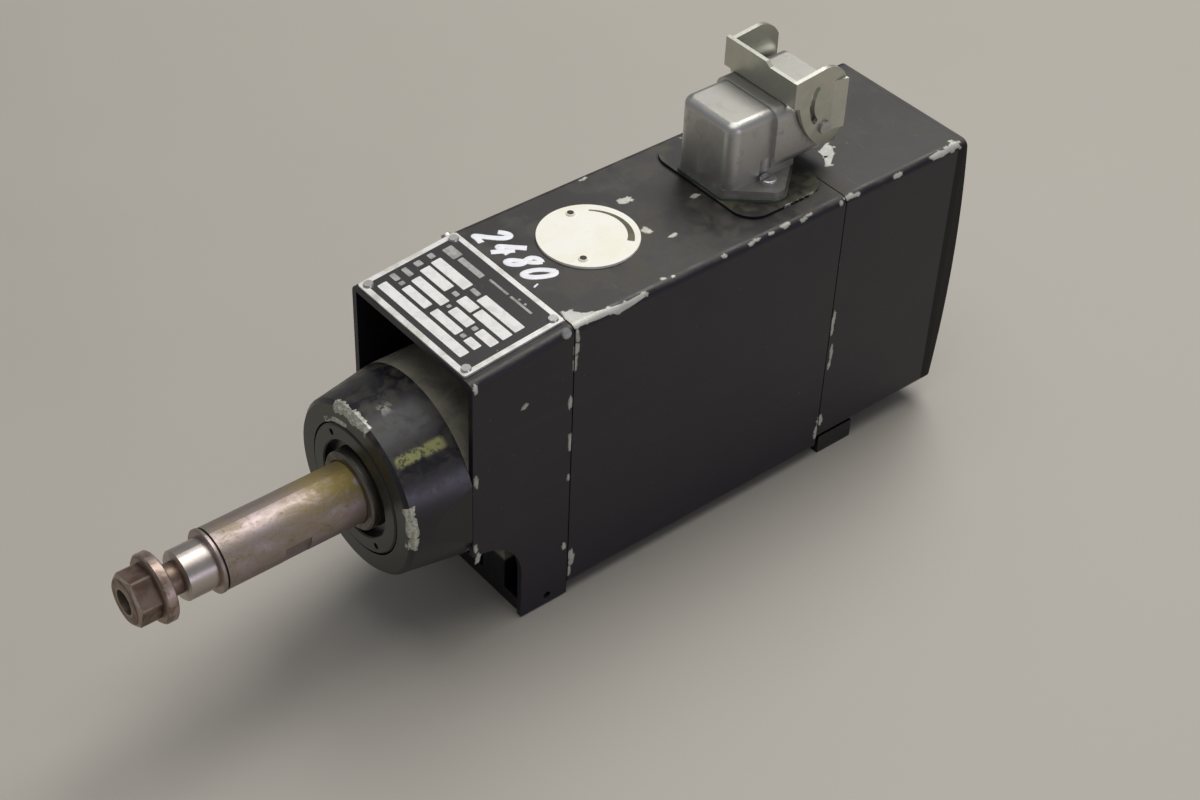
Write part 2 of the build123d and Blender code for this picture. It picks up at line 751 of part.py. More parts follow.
with BuildPart() as front_bearing_inner_rings:
    for x in (bearing_1_x, bearing_2_x):
        add(
            bearing_ring(x, ring_width, front_bore_r + fit_gap, front_inner_out, front_pitch_r, front_race).part
        )
keep(front_bearing_inner_rings, "front_bearing_inner_rings")

for number, x in enumerate((bearing_1_x, bearing_2_x), start=1):
    balls = ball_set(x, front_pitch_r, front_ball_r, front_ball_count, front_cage_half, front_cage_length)
    keep(balls, f"front_balls_{number}")

spacer_x = bearing_1_x - front_width / 2
outer_spacer = turned(
    ring_points(spacer_x - spacer_width + fit_gap, spacer_x - fit_gap, front_outer_in, front_outer_r)
)
keep(outer_spacer, "outer_spacer")
inner_spacer = turned(
    ring_points(spacer_x - spacer_width + fit_gap, spacer_x - fit_gap, front_bore_r + fit_gap, front_inner_out)
)
keep(inner_spacer, "inner_spacer")

rear_ring_width = rear_width - 2 * fit_gap
rear_bearing_outer_ring = bearing_ring(
    rear_bearing_x, rear_ring_width, rear_outer_in, rear_outer_r, rear_pitch_r, rear_race
)
keep(rear_bearing_outer_ring, "rear_bearing_outer_ring")
rear_bearing_inner_ring = bearing_ring(
    rear_bearing_x, rear_ring_width, rear_shaft_r + fit_gap, rear_inner_out, rear_pitch_r, rear_race
)
keep(rear_bearing_inner_ring, "rear_bearing_inner_ring")
rear_balls = ball_set(rear_bearing_x, rear_pitch_r, rear_ball_r, rear_ball_count, rear_cage_half, rear_cage_length)
keep(rear_balls, "rear_balls")

# Preload spring: a shallow cone between the rear outer ring and the bell's shoulder
spring_front_x = rear_bearing_front_x + spring_height
preload_spring = turned(
    [
        (rear_bearing_front_x, rear_outer_r - 0.2),
        (rear_bearing_front_x + 0.4, rear_outer_r - 0.2),
        (spring_front_x, rear_outer_r - 2.4),
        (spring_front_x - 0.4, rear_outer_r - 2.4),
    ]
)
keep(preload_spring, "preload_spring")

# Rear bell: plate, hub for the rear bearing, legs and foot
rear_hub_x = rear_bearing_end_x - 1.0
with BuildPart() as rear_end_bell:
    with BuildSketch(Plane.YZ.offset(rear_plate_x)):
        RectangleRounded(2 * bell_half_width, 2 * bell_half_height, bend_r)
        Circle(rear_shaft_r + rear_shaft_room, mode=Mode.SUBTRACT)
        with Locations((0, rear_window_z), (0, -rear_window_z)):
            RectangleRounded(leg_window_width, rear_window_height, window_round, mode=Mode.SUBTRACT)
        with Locations((side_window_y, rear_window_z), (-side_window_y, rear_window_z)):
            RectangleRounded(side_window_width, rear_window_height, window_round, mode=Mode.SUBTRACT)
        with Locations(*tie_places):
            Circle(tie_rod_r + fit_gap, mode=Mode.SUBTRACT)
    extrude(amount=plate_thick)
    with BuildSketch(Plane.YZ.offset(rear_hub_x)):
        Circle(rear_hub_r)
        Circle(rear_outer_r + fit_gap, mode=Mode.SUBTRACT)
    extrude(amount=rear_plate_x - rear_hub_x)
    with BuildSketch(Plane.YZ.offset(rear_bearing_front_x)):
        Circle(rear_outer_r + fit_gap)
    extrude(amount=spring_height + fit_gap, mode=Mode.SUBTRACT)
    with BuildSketch(Plane.XY.offset(floor_z)):
        with Locations((rear_foot_x, 0)):
            Rectangle(rear_foot_length, body_width - 1.0)
    extrude(amount=cover_bottom_z - floor_z - face_gap)
    with BuildSketch(Plane.XY.offset(floor_z)):
        with Locations(
            (rear_foot_x, (leg_outer + leg_inner) / 2),
            (rear_foot_x, -(leg_outer + leg_inner) / 2),
        ):
            Rectangle(rear_foot_length, leg_outer - leg_inner)
    extrude(amount=axis_height - rear_leg_drop)
    with BuildSketch(Plane.YZ.offset(rear_hub_x - 2 * rear_foot_length)):
        Circle(rear_outer_r + fit_gap)
    extrude(amount=rear_bearing_front_x - rear_hub_x + 2 * rear_foot_length, mode=Mode.SUBTRACT)
    with BuildSketch(Plane.XY.offset(floor_z)):
        with Locations((rear_foot_x, foot_hole_across / 2), (rear_foot_x, -foot_hole_across / 2)):
            Circle(foot_hole_r)
    extrude(amount=foot_hole_depth, mode=Mode.SUBTRACT)
keep(rear_end_bell, "rear_end_bell")

# Spindle shaft: stepped, with a ground tool seat, collar, spanner flats and a threaded end
rotor_seat_front_x = bearing_end_x - rotor_seat_setback
rear_step_x = core_rear_x - end_ring_length - 2.0
shaft_outline = turned(
    [
        (shaft_end_x, 0),
        (shaft_end_x, rear_shaft_r - 0.5),
        (shaft_end_x + 0.5, rear_shaft_r),
        (clip_x - clip_thick - fit_gap, rear_shaft_r),
        (clip_x - clip_thick - fit_gap, rear_shaft_r - 0.6),
        (clip_x + fit_gap, rear_shaft_r - 0.6),
        (clip_x + fit_gap, rear_shaft_r),
        (rear_bearing_front_x, rear_shaft_r),
        (rear_bearing_front_x, rear_shaft_r + 1.8),
        (rear_step_x, rear_shaft_r + 1.8),
        (rear_step_x, rotor_seat_r),
        (rotor_seat_front_x, rotor_seat_r),
        (rotor_seat_front_x, rotor_seat_r + 0.6),
        (bearing_end_x, rotor_seat_r + 0.6),
        (bearing_end_x, shaft_r),
        (-collar_width - groove_width, shaft_r),
        (-collar_width - groove_width, shaft_r - groove_depth),
        (-collar_width, shaft_r - groove_depth),
        (-collar_width, collar_r),
        (-0.3, collar_r),
        (0, collar_r - 0.3),
        (0, seat_r),
        (seat_length - 0.7, seat_r),
        (seat_length, seat_r - 0.7),
        (seat_length, 0),
    ]
)
flat_depth = shaft_r - spanner_across / 2
with BuildPart() as spindle_shaft:
    add(shaft_outline.part)
    for turn in (0, 180):
        flat_plane = Plane(
            origin=(spanner_x, 0, 0),
            x_dir=(1, 0, 0),
            z_dir=(0, cos(radians(spanner_angle + turn)), sin(radians(spanner_angle + turn))),
        ).offset(spanner_across / 2)
        with BuildSketch(flat_plane):
            Rectangle(spanner_length, 3 * shaft_r)
        extrude(amount=2 * flat_depth, mode=Mode.SUBTRACT)
    with BuildSketch(Plane.YZ.offset(seat_length)):
        Circle(thread_r + run_gap)
    extrude(amount=-(screw_length + 1.0), mode=Mode.SUBTRACT)
keep(spindle_shaft, "spindle_shaft")

# Clamp screw and washer, backed out by clamp_open
washer_rear_x = seat_length + clamp_open
washer_front_x = washer_rear_x + washer_thick
head_front_x = washer_front_x + head_height
clamp_washer = turned(
    [
        (washer_rear_x, thread_r + 0.3),
        (washer_front_x, thread_r + 0.3),
        (washer_front_x, washer_r - 0.8),
        (washer_front_x - 0.8, washer_r),
        (washer_rear_x + 0.4, washer_r),
        (washer_rear_x, washer_r - 0.4),
    ]
)
keep(clamp_washer, "clamp_washer")

head_corner_r = head_across / sqrt(3)
with BuildPart() as clamp_screw:
    with BuildSketch(Plane.YZ.offset(washer_front_x)):
        RegularPolygon(head_across / 2, 6, major_radius=False, rotation=12)
    extrude(amount=head_height)
    with BuildSketch(Plane.XZ):
        with BuildLine():
            Polyline(
                (washer_front_x, 0),
                (washer_front_x, head_corner_r - 0.2),
                (washer_front_x + 0.5, head_corner_r + 0.1),
                (head_front_x - 1.5, head_corner_r + 0.1),
                (head_front_x, head_corner_r - 1.7),
                (head_front_x, 0),
                close=True,
            )
        make_face()
    revolve(axis=Axis.X, mode=Mode.INTERSECT)
    with BuildSketch(Plane.YZ.offset(head_front_x)):
        Circle(head_recess_r)
    extrude(amount=-head_recess_depth, mode=Mode.SUBTRACT)
    with BuildSketch(Plane.YZ.offset(washer_front_x)):
        Circle(thread_r)
    extrude(amount=-(screw_length - clamp_open))
keep(clamp_screw, "clamp_screw")

# Rotor
rotor_core = turned(ring_points(core_rear_x, core_front_x, rotor_seat_r + fit_gap, rotor_r))
keep(rotor_core, "rotor_core")
with BuildPart() as rotor_end_rings:
    for x in (core_rear_x - end_ring_length, core_front_x):
        with BuildSketch(Plane.YZ.offset(x)):
            Circle(rotor_r - 0.6)
            Circle(rotor_seat_r + 0.8, mode=Mode.SUBTRACT)
        extrude(amount=end_ring_length)
keep(rotor_end_rings, "rotor_end_rings")

# Stator core: round laminations cut flat at the sides, with open slots
with BuildPart() as stator_core:
    with BuildSketch(Plane.YZ.offset(core_rear_x)):
        Circle(stator_r)
        Rectangle(2 * bell_half_width, 2 * stator_r, mode=Mode.INTERSECT)
        Circle(bore_r, mode=Mode.SUBTRACT)
        with PolarLocations(bore_r + slot_start + slot_depth / 2, slot_count):
            Rectangle(slot_depth, slot_width, mode=Mode.SUBTRACT)
        with PolarLocations(bore_r, slot_count):
            Rectangle(2 * slot_start + slot_depth / 2, slot_mouth, mode=Mode.SUBTRACT)
    extrude(amount=core_length)
keep(stator_core, "stator_core")

bar_depth = slot_depth - 2 * winding_gap
bar_width = slot_width - 2 * winding_gap
bar_ring_r = bore_r + slot_start + slot_depth / 2
with BuildPart() as stator_winding:
    with BuildSketch(Plane.YZ.offset(core_rear_x - end_turn_length / 2)):
        with PolarLocations(bar_ring_r, slot_count):
            Rectangle(bar_depth, bar_width)
    extrude(amount=core_length + end_turn_length)
    for x, way in ((core_front_x + fit_gap, 1), (core_rear_x - fit_gap, -1)):
        with BuildSketch(Plane.YZ.offset(x)):
            Circle(bar_ring_r + bar_depth / 2)
            Circle(bar_ring_r - bar_depth / 2, mode=Mode.SUBTRACT)
        extrude(amount=way * end_turn_length)
    end_faces = stator_winding.faces().filter_by(Axis.X).sort_by(Axis.X)
    fillet(end_faces[-1].edges() + end_faces[0].edges(), bar_depth / 3)
keep(stator_winding, "stator_winding")

# Tie rods through both bells, with a nut at each end
tie_front_x = front_plate_x + tie_nut_height + tie_end
tie_rear_x = rear_plate_x - tie_nut_height - tie_end
with BuildPart() as tie_rods:
    with BuildSketch(Plane.YZ.offset(tie_rear_x)):
        with Locations(*tie_places):
            Circle(tie_rod_r)
    extrude(amount=tie_front_x - tie_rear_x)
keep(tie_rods, "tie_rods")
with BuildPart() as tie_rod_nuts:
    for x in (front_plate_x, rear_plate_x - tie_nut_height):
        with BuildSketch(Plane.YZ.offset(x)):
            with Locations(*tie_places):
                RegularPolygon(tie_nut_across / 2, 6, major_radius=False, rotation=30)
                Circle(tie_rod_r + fit_gap, mode=Mode.SUBTRACT)
        extrude(amount=tie_nut_height)
keep(tie_rod_nuts, "tie_rod_nuts")

# Lock nut behind the rear bearing, with four spanner notches
with BuildPart() as bearing_lock_nut:
    with BuildSketch(Plane.YZ.offset(nut_end_x)):
        Circle(nut_r)
        Circle(rear_shaft_r + fit_gap, mode=Mode.SUBTRACT)
        with PolarLocations(nut_r, 4):
            Rectangle(3.0, 4.0, mode=Mode.SUBTRACT)
    extrude(amount=nut_height - fit_gap)
keep(bearing_lock_nut, "bearing_lock_nut")

# Fan: hub, disc and straight blades
with BuildPart() as cooling_fan:
    with BuildSketch(Plane.YZ.offset(fan_end_x)):
        Circle(fan_hub_r)
    extrude(amount=fan_height)
    with BuildSketch(Plane.YZ.offset(fan_x - fan_disc)):
        Circle(fan_r)
    extrude(amount=fan_disc)
    with BuildSketch(Plane.YZ.offset(fan_end_x + 1.0)):
        with PolarLocations((fan_hub_r + fan_r) / 2 - 0.5, fan_blades):
            Rectangle(fan_r - fan_hub_r, fan_blade_thick)
    extrude(amount=fan_height - 1.0)
    with BuildSketch(Plane.YZ.offset(fan_end_x)):
        Circle(rear_shaft_r + fit_gap)
    extrude(amount=fan_height, mode=Mode.SUBTRACT)
keep(cooling_fan, "cooling_fan")

with BuildPart() as fan_clip:
    with BuildSketch(Plane.YZ.offset(clip_x - clip_thick)):
        Circle(clip_r)
        Circle(rear_shaft_r - 0.6 + fit_gap, mode=Mode.SUBTRACT)
        with Locations((0, clip_r)):
            Rectangle(5.0, clip_r, mode=Mode.SUBTRACT)
    extrude(amount=clip_thick)
keep(fan_clip, "fan_clip")

# Rating plate on the hood's slope, with four rivets, and the round label with two pins
with BuildPart() as nameplate:
    with BuildSketch(slope_plane.offset(fit_gap)):
        with Locations((0, nameplate_shift)):
            RectangleRounded(nameplate_length, nameplate_width, 1.0)
        with Locations(*rivet_places):
            Circle(rivet_r + fit_gap, mode=Mode.SUBTRACT)
    extrude(amount=nameplate_thick)
keep(nameplate, "nameplate")
with BuildPart() as nameplate_rivets:
    with BuildSketch(slope_plane.offset(nameplate_thick + 2 * fit_gap)):
        with Locations(*rivet_places):
            Circle(rivet_head_r)
    extrude(amount=0.6, taper=25)
    with BuildSketch(slope_plane.offset(nameplate_thick + 2 * fit_gap)):
        with Locations(*rivet_places):
            Circle(rivet_r)
    extrude(amount=-nameplate_thick - wall)
keep(nameplate_rivets, "nameplate_rivets")

label_pin_places = [
    (label_x + label_pin_ring * cos(radians(a)), label_shift + label_pin_ring * sin(radians(a)))
    for a in label_pin_angles
]
with BuildPart() as direction_label:
    with BuildSketch(Plane.XY.offset(half_height)):
        with Locations((label_x, label_shift)):
            Circle(label_r)
        with Locations(*label_pin_places):
            Circle(label_pin_r + fit_gap, mode=Mode.SUBTRACT)
    extrude(amount=label_thick)
keep(direction_label, "direction_label")
with BuildPart() as label_pins:
    with BuildSketch(Plane.XY.offset(half_height + label_thick)):
        with Locations(*label_pin_places):
            Circle(2 * label_pin_r)
    extrude(amount=0.5, taper=25)
    with BuildSketch(Plane.XY.offset(half_height + label_thick)):
        with Locations(*label_pin_places):
            Circle(label_pin_r)
    extrude(amount=-label_thick - wall)
keep(label_pins, "label_pins")

# Raised pad, gasket and lozenge flange under the connector
flange_corners = [
    (flange_half_length, flange_side_half),
    (flange_end_half, flange_half_width),
    (-flange_end_half, flange_half_width),
    (-flange_half_length, flange_side_half),
    (-flange_half_length, -flange_side_half),
    (-flange_end_half, -flange_half_width),
    (flange_end_half, -flange_half_width),
    (flange_half_length, -flange_side_half),
]
conn_screw_places = [(conn_x, conn_shift + i * conn_screw_across / 2) for i in (-1, 1)]


def lozenge(grow):
    """The flange's outline about the connector's middle, grown all round."""
    with BuildSketch(Plane.XY) as outline:
        Polygon(*flange_corners, align=None)
        fillet(outline.vertices(), 1.5)
        if grow > 0:
            offset(amount=grow)
    return outline.sketch


with BuildPart() as connector_pad:
    with BuildSketch(Plane.XY.offset(half_height)):
        with Locations((conn_x + flange_half_length + pad_lead - pad_length / 2, conn_shift)):
            RectangleRounded(pad_length, pad_width, pad_round)
        with Locations((conn_x, conn_shift)):
            Circle(cable_hole_r, mode=Mode.SUBTRACT)
        with Locations(*conn_screw_places):
            Circle(m3_r + fit_gap, mode=Mode.SUBTRACT)
    extrude(amount=pad_thick)
keep(connector_pad, "connector_pad")

with BuildPart() as connector_gasket:
    with BuildSketch(Plane.XY.offset(pad_z)):
        with Locations((conn_x, conn_shift)):
            add(lozenge(gasket_margin))
            Circle(cable_hole_r, mode=Mode.SUBTRACT)
        with Locations(*conn_screw_places):
            Circle(m3_r + fit_gap, mode=Mode.SUBTRACT)
    extrude(amount=gasket_thick)
keep(connector_gasket, "connector_gasket")

# Connector housing: flange, square block with rounded edges, and a collar with the mouth to the rear
conn_front_x = conn_x + conn_front
cube_rear_x = conn_front_x - conn_cube
mouth_x = conn_front_x - conn_length
collar_front_x = mouth_x + collar_length
collar_low_z = flange_z + collar_lift
collar_top_z = conn_top_z + collar_step
collar_half = conn_width / 2 + collar_side_step
mouth_half = collar_half - conn_wall
mouth_depth = insert_depth + insert_length + face_gap
cavity_half = conn_width / 2 - conn_wall
cavity_low_z = collar_low_z + conn_wall
cavity_top_z = conn_top_z - conn_wall
with BuildPart() as connector_housing:
    with BuildSketch(Plane.XY.offset(flange_z)):
        with Locations(((conn_front_x + cube_rear_x) / 2, conn_shift)):
            Rectangle(conn_cube, conn_width)
    extrude(amount=conn_height)
    front_edges = connector_housing.edges().filter_by(Axis.Z).sort_by(Axis.X)[-2:]
    fillet(front_edges, conn_round)
    crown = connector_housing.faces().sort_by(Axis.Z)[-1].edges().filter_by(
        lambda edge: edge.center().X > cube_rear_x + 0.01
    )
    fillet(crown, conn_round * 0.7)
    with BuildSketch(Plane.YZ.offset(mouth_x)):
        with Locations((conn_shift, (collar_low_z + collar_top_z) / 2)):
            RectangleRounded(2 * collar_half, collar_top_z - collar_low_z, conn_round)
    extrude(amount=collar_length)
    with BuildSketch(Plane.XY.offset(gasket_z)):
        with Locations((conn_x, conn_shift)):
            add(lozenge(0))
    extrude(amount=flange_thick)
    with BuildSketch(Plane.YZ.offset(mouth_x)):
        with Locations((conn_shift, (cavity_low_z + cavity_top_z) / 2)):
            RectangleRounded(2 * mouth_half, cavity_top_z - cavity_low_z, mouth_round)
    extrude(amount=mouth_depth, mode=Mode.SUBTRACT)
    with BuildSketch(Plane.YZ.offset(mouth_x)):
        with Locations((conn_shift, (cavity_low_z + cavity_top_z) / 2)):
            RectangleRounded(2 * cavity_half, cavity_top_z - cavity_low_z, mouth_round)
    extrude(amount=conn_length - conn_wall - cavity_end_extra, mode=Mode.SUBTRACT)
    with BuildSketch(Plane.XY.offset(gasket_z)):
        with Locations((conn_x, conn_shift)):
            Circle(cable_hole_r)
    extrude(amount=cavity_low_z - gasket_z + 1.0, mode=Mode.SUBTRACT)
    with BuildSketch(Plane.XY.offset(flange_z)):
        with Locations(*conn_screw_places):
            Circle(m3_head_r + seal_gap)
    extrude(amount=screw_head_room, mode=Mode.SUBTRACT)
    with BuildSketch(Plane.XY.offset(gasket_z)):
        with Locations(*conn_screw_places):
            Circle(m3_r + fit_gap)
    extrude(amount=flange_thick, mode=Mode.SUBTRACT)
    with BuildSketch(Plane.XZ.offset(-(conn_shift + collar_half))):
        with Locations((pivot_x, pivot_z)):
            Circle(lever_pin_r - 0.6)
    extrude(amount=conn_wall - 1.0, mode=Mode.SUBTRACT)
    with BuildSketch(Plane.XZ.offset(-(conn_shift - collar_half))):
        with Locations((pivot_x, pivot_z)):
            Circle(lever_pin_r - 0.6)
    extrude(amount=-(conn_wall - 1.0), mode=Mode.SUBTRACT)
keep(connector_housing, "connector_housing")

keep(
    slotted_screws(Plane.XY.offset(flange_z), conn_screw_places, flange_z - half_height + wall),
    "connector_screws",
)

# Insert with its contact pins, set back in the mouth
insert_front_x = mouth_x + insert_depth
insert_rear_x = insert_front_x + insert_length
insert_low_z = cavity_low_z + face_gap
insert_top_z = cavity_top_z - face_gap
insert_middle_z = (insert_low_z + insert_top_z) / 2
contact_places = [
    (conn_shift + i * contact_spread, insert_middle_z + j * contact_spread) for i in (-1, 1) for j in (-1, 1)
]
with BuildPart() as connector_insert:
    with BuildSketch(Plane.YZ.offset(insert_front_x)):
        with Locations((conn_shift, insert_middle_z)):
            RectangleRounded(2 * (mouth_half - face_gap), insert_top_z - insert_low_z, mouth_round)
    extrude(amount=insert_length)
    with BuildSketch(Plane.YZ.offset(insert_front_x)):
        with Locations(*contact_places):
            Circle(contact_r + fit_gap)
    extrude(amount=insert_length, mode=Mode.SUBTRACT)
keep(connector_insert, "connector_insert")
with BuildPart() as contact_pins:
    with BuildSketch(Plane.YZ.offset(insert_front_x - contact_reach)):
        with Locations(*contact_places):
            Circle(contact_r)
    extrude(amount=contact_reach + insert_length)
    fillet(contact_pins.faces().sort_by(Axis.X)[0:4].edges(), 0.6)
keep(contact_pins, "contact_pins")

# Leads from the rear end turn, up through the cable hole and into the insert
lead_x = insert_rear_x + lead_bend_r + lead_r + 0.6
lead_low_z = bar_ring_r + bar_depth / 2 + 0.3
with BuildPart() as winding_leads:
    for y, z in contact_places:
        drop = 0.6 * (y - conn_shift)
        with BuildLine() as route:
            FilletPolyline(
                (lead_x, conn_shift + drop + (z - insert_middle_z) * 0.25, lead_low_z),
                (lead_x, conn_shift + drop + (z - insert_middle_z) * 0.25, z),
                (insert_rear_x, conn_shift + drop + (z - insert_middle_z) * 0.25, z),
                radius=lead_bend_r,
            )
        with BuildSketch(Plane(origin=route.line @ 0, z_dir=route.line % 0)):
            Circle(lead_r)
        sweep(path=route.line)
keep(winding_leads, "winding_leads")

# Locking lever: two arms joined by a stepped crossbar, swung open towards the shaft
arm_inner = collar_half + lever_gap
arm_outer = arm_inner + lever_thick
bar_x = pivot_x + lever_bar_ahead
arm_ways = (1, -1)
lip_low_z = pivot_z + lever_heel[1]
lip_length = lever_back[1] - lever_heel[1]
with BuildPart() as locking_lever:
    for arm_y in (conn_shift + arm_outer, conn_shift - arm_inner):
        with BuildSketch(Plane(origin=(pivot_x, arm_y, pivot_z), x_dir=(1, 0, 0), z_dir=(0, -1, 0))):
            with BuildLine():
                ThreePointArc(lever_heel, lever_sole, lever_toe)
                ThreePointArc(lever_toe, lever_shin, lever_knee)
                Line(lever_knee, (lever_bar_ahead, lever_bar_low))
                Line((lever_bar_ahead, lever_bar_low), (lever_bar_ahead, lever_bar_near_top))
                Line((lever_bar_ahead, lever_bar_near_top), lever_crest)
                ThreePointArc(lever_crest, lever_shoulder, lever_back)
                Line(lever_back, lever_heel)
            make_face()
            with BuildLine(mode=Mode.PRIVATE):
                slot_path = ThreePointArc(*lever_slot_points)
            SlotArc(slot_path, lever_slot_width, mode=Mode.SUBTRACT)
            Circle(lever_pin_r + run_gap, mode=Mode.SUBTRACT)
        extrude(amount=lever_thick)
    with BuildSketch(Plane.YZ.offset(bar_x - lever_thick)):
        Polygon(
            (conn_shift - arm_outer, pivot_z + lever_bar_low),
            (conn_shift + arm_outer, pivot_z + lever_bar_low),
            (conn_shift + arm_outer, pivot_z + lever_bar_near_top),
            (conn_shift + lever_bar_step, pivot_z + lever_bar_near_top),
            (conn_shift + lever_bar_step - 2.0, pivot_z + lever_bar_far_top),
            (conn_shift - arm_outer, pivot_z + lever_bar_far_top),
            align=None,
        )
    extrude(amount=lever_thick)
    for way in arm_ways:
        with BuildSketch(Plane.XY.offset(lip_low_z)):
            Polygon(
                (pivot_x - lever_lip_start, conn_shift + way * arm_outer),
                (pivot_x - lever_rear, conn_shift + way * (arm_outer + lever_lip)),
                (pivot_x - lever_rear, conn_shift + way * (arm_outer - lever_thick / 2)),
                (pivot_x - lever_lip_start, conn_shift + way * (arm_outer - lever_thick / 2)),
                align=None,
            )
        extrude(amount=lip_length)
keep(locking_lever, "locking_lever")

with BuildPart() as lever_pivots:
    for way in arm_ways:
        with BuildSketch(Plane.XZ.offset(-(conn_shift + way * collar_half))):
            with Locations((pivot_x, pivot_z)):
                Circle(lever_pin_r)
        extrude(amount=-way * (arm_outer - collar_half + lever_pin_proud))
        with BuildSketch(Plane.XZ.offset(-(conn_shift + way * collar_half))):
            with Locations((pivot_x, pivot_z)):
                Circle(lever_pin_r - 0.6 - fit_gap)
        extrude(amount=way * (conn_wall - 1.0 - fit_gap))
keep(lever_pivots, "lever_pivots")

whole = Compound(label="motor_spindle", children=parts)
box = whole.bounding_box()
print("pieces", len(parts), "size", [round(v, 1) for v in (box.size.X, box.size.Y, box.size.Z)])
print("foot holes apart", round(front_foot_x - rear_foot_x, 2), "turn per metre", round(2000 * pi / thread_pitch, 3))
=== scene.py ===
import math
import random
import bmesh
import bpy
from mathutils import Matrix, Vector


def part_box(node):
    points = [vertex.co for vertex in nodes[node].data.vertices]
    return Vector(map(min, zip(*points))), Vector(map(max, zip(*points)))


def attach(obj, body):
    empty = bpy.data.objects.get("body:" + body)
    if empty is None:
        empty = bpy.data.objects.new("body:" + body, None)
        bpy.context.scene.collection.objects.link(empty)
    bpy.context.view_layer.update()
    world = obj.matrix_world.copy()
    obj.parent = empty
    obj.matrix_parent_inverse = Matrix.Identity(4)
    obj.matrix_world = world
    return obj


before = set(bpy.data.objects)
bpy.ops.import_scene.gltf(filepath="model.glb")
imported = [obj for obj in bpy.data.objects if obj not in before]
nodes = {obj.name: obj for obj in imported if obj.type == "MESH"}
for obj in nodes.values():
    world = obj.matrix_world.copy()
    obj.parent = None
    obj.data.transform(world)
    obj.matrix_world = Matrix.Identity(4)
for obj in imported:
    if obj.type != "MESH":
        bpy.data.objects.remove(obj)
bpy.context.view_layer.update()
print("stage: frame loaded,", len(nodes), "nodes")

mm = 0.001
floorHeight = -56.0

# camera, in mm and degrees
viewSet = {
    "place": (205.93, 408.37, 447.57),
    "aim": (-0.4963, -0.5753, -0.6502),
    "roll": 2.582,
    "lens": 65.685,
    "sensor": 36,
    "clip": 0.01,
}


def setCamera():
    aim = Vector(viewSet["aim"]).normalized()
    side = aim.cross(Vector((0, 0, 1))).normalized()
    rise = side.cross(aim)
    turn = math.radians(viewSet["roll"])
    right = side * math.cos(turn) + rise * math.sin(turn)
    up = rise * math.cos(turn) - side * math.sin(turn)
    data = bpy.data.cameras.new("photoCamera")
    data.lens = viewSet["lens"]
    data.sensor_width = viewSet["sensor"]
    data.clip_start = viewSet["clip"]
    camera = bpy.data.objects.new("photoCamera", data)
    bpy.context.scene.collection.objects.link(camera)
    camera.matrix_world = Matrix.Translation(Vector(viewSet["place"]) * mm) @ Matrix(
        (right, up, -aim)
    ).transposed().to_4x4()
    bpy.context.scene.camera = camera


lampSet = [
    # name, place in metres, size, watts, colour
    ("keyLamp", (-0.95, -0.35, 1.25), 0.9, 12.0, (1.0, 0.98, 0.95)),
    ("topLamp", (-0.1, 0.05, 1.6), 1.4, 10.5, (1.0, 0.99, 0.97)),
    ("sideLamp", (-0.25, 1.6, 0.25), 0.50, 2.4, (0.84, 0.78, 1.0)),
]
lampAim = (-0.12, 0, 0)


def setLamps():
    for name, place, size, watts, colour in lampSet:
        data = bpy.data.lights.new(name, "AREA")
        data.shape = "DISK"
        data.size = size
        data.energy = watts
        data.color = colour
        lamp = bpy.data.objects.new(name, data)
        bpy.context.scene.collection.objects.link(lamp)
        away = Vector(place) - Vector(lampAim)
        turned = away.to_track_quat("Z", "Y").to_matrix().to_4x4()
        lamp.matrix_world = Matrix.Translation(Vector(place)) @ turned


setCamera()
setLamps()
print("stage: camera and lamps")


# shader kit
class Wire:
    def __init__(self, kit, socket):
        self.kit = kit
        self.socket = socket

    def __add__(self, other):
        return self.kit.math("ADD", self, other)

    __radd__ = __add__

    def __sub__(self, other):
        return self.kit.math("SUBTRACT", self, other)

    def __rsub__(self, other):
        return self.kit.math("SUBTRACT", other, self)

    def __mul__(self, other):
        return self.kit.math("MULTIPLY", self, other)

    __rmul__ = __mul__

    def __pow__(self, other):
        return self.kit.math("POWER", self, other)

    def __neg__(self):
        return self.kit.math("MULTIPLY", self, -1.0)

    def __abs__(self):
        return self.kit.math("ABSOLUTE", self, 0.0)


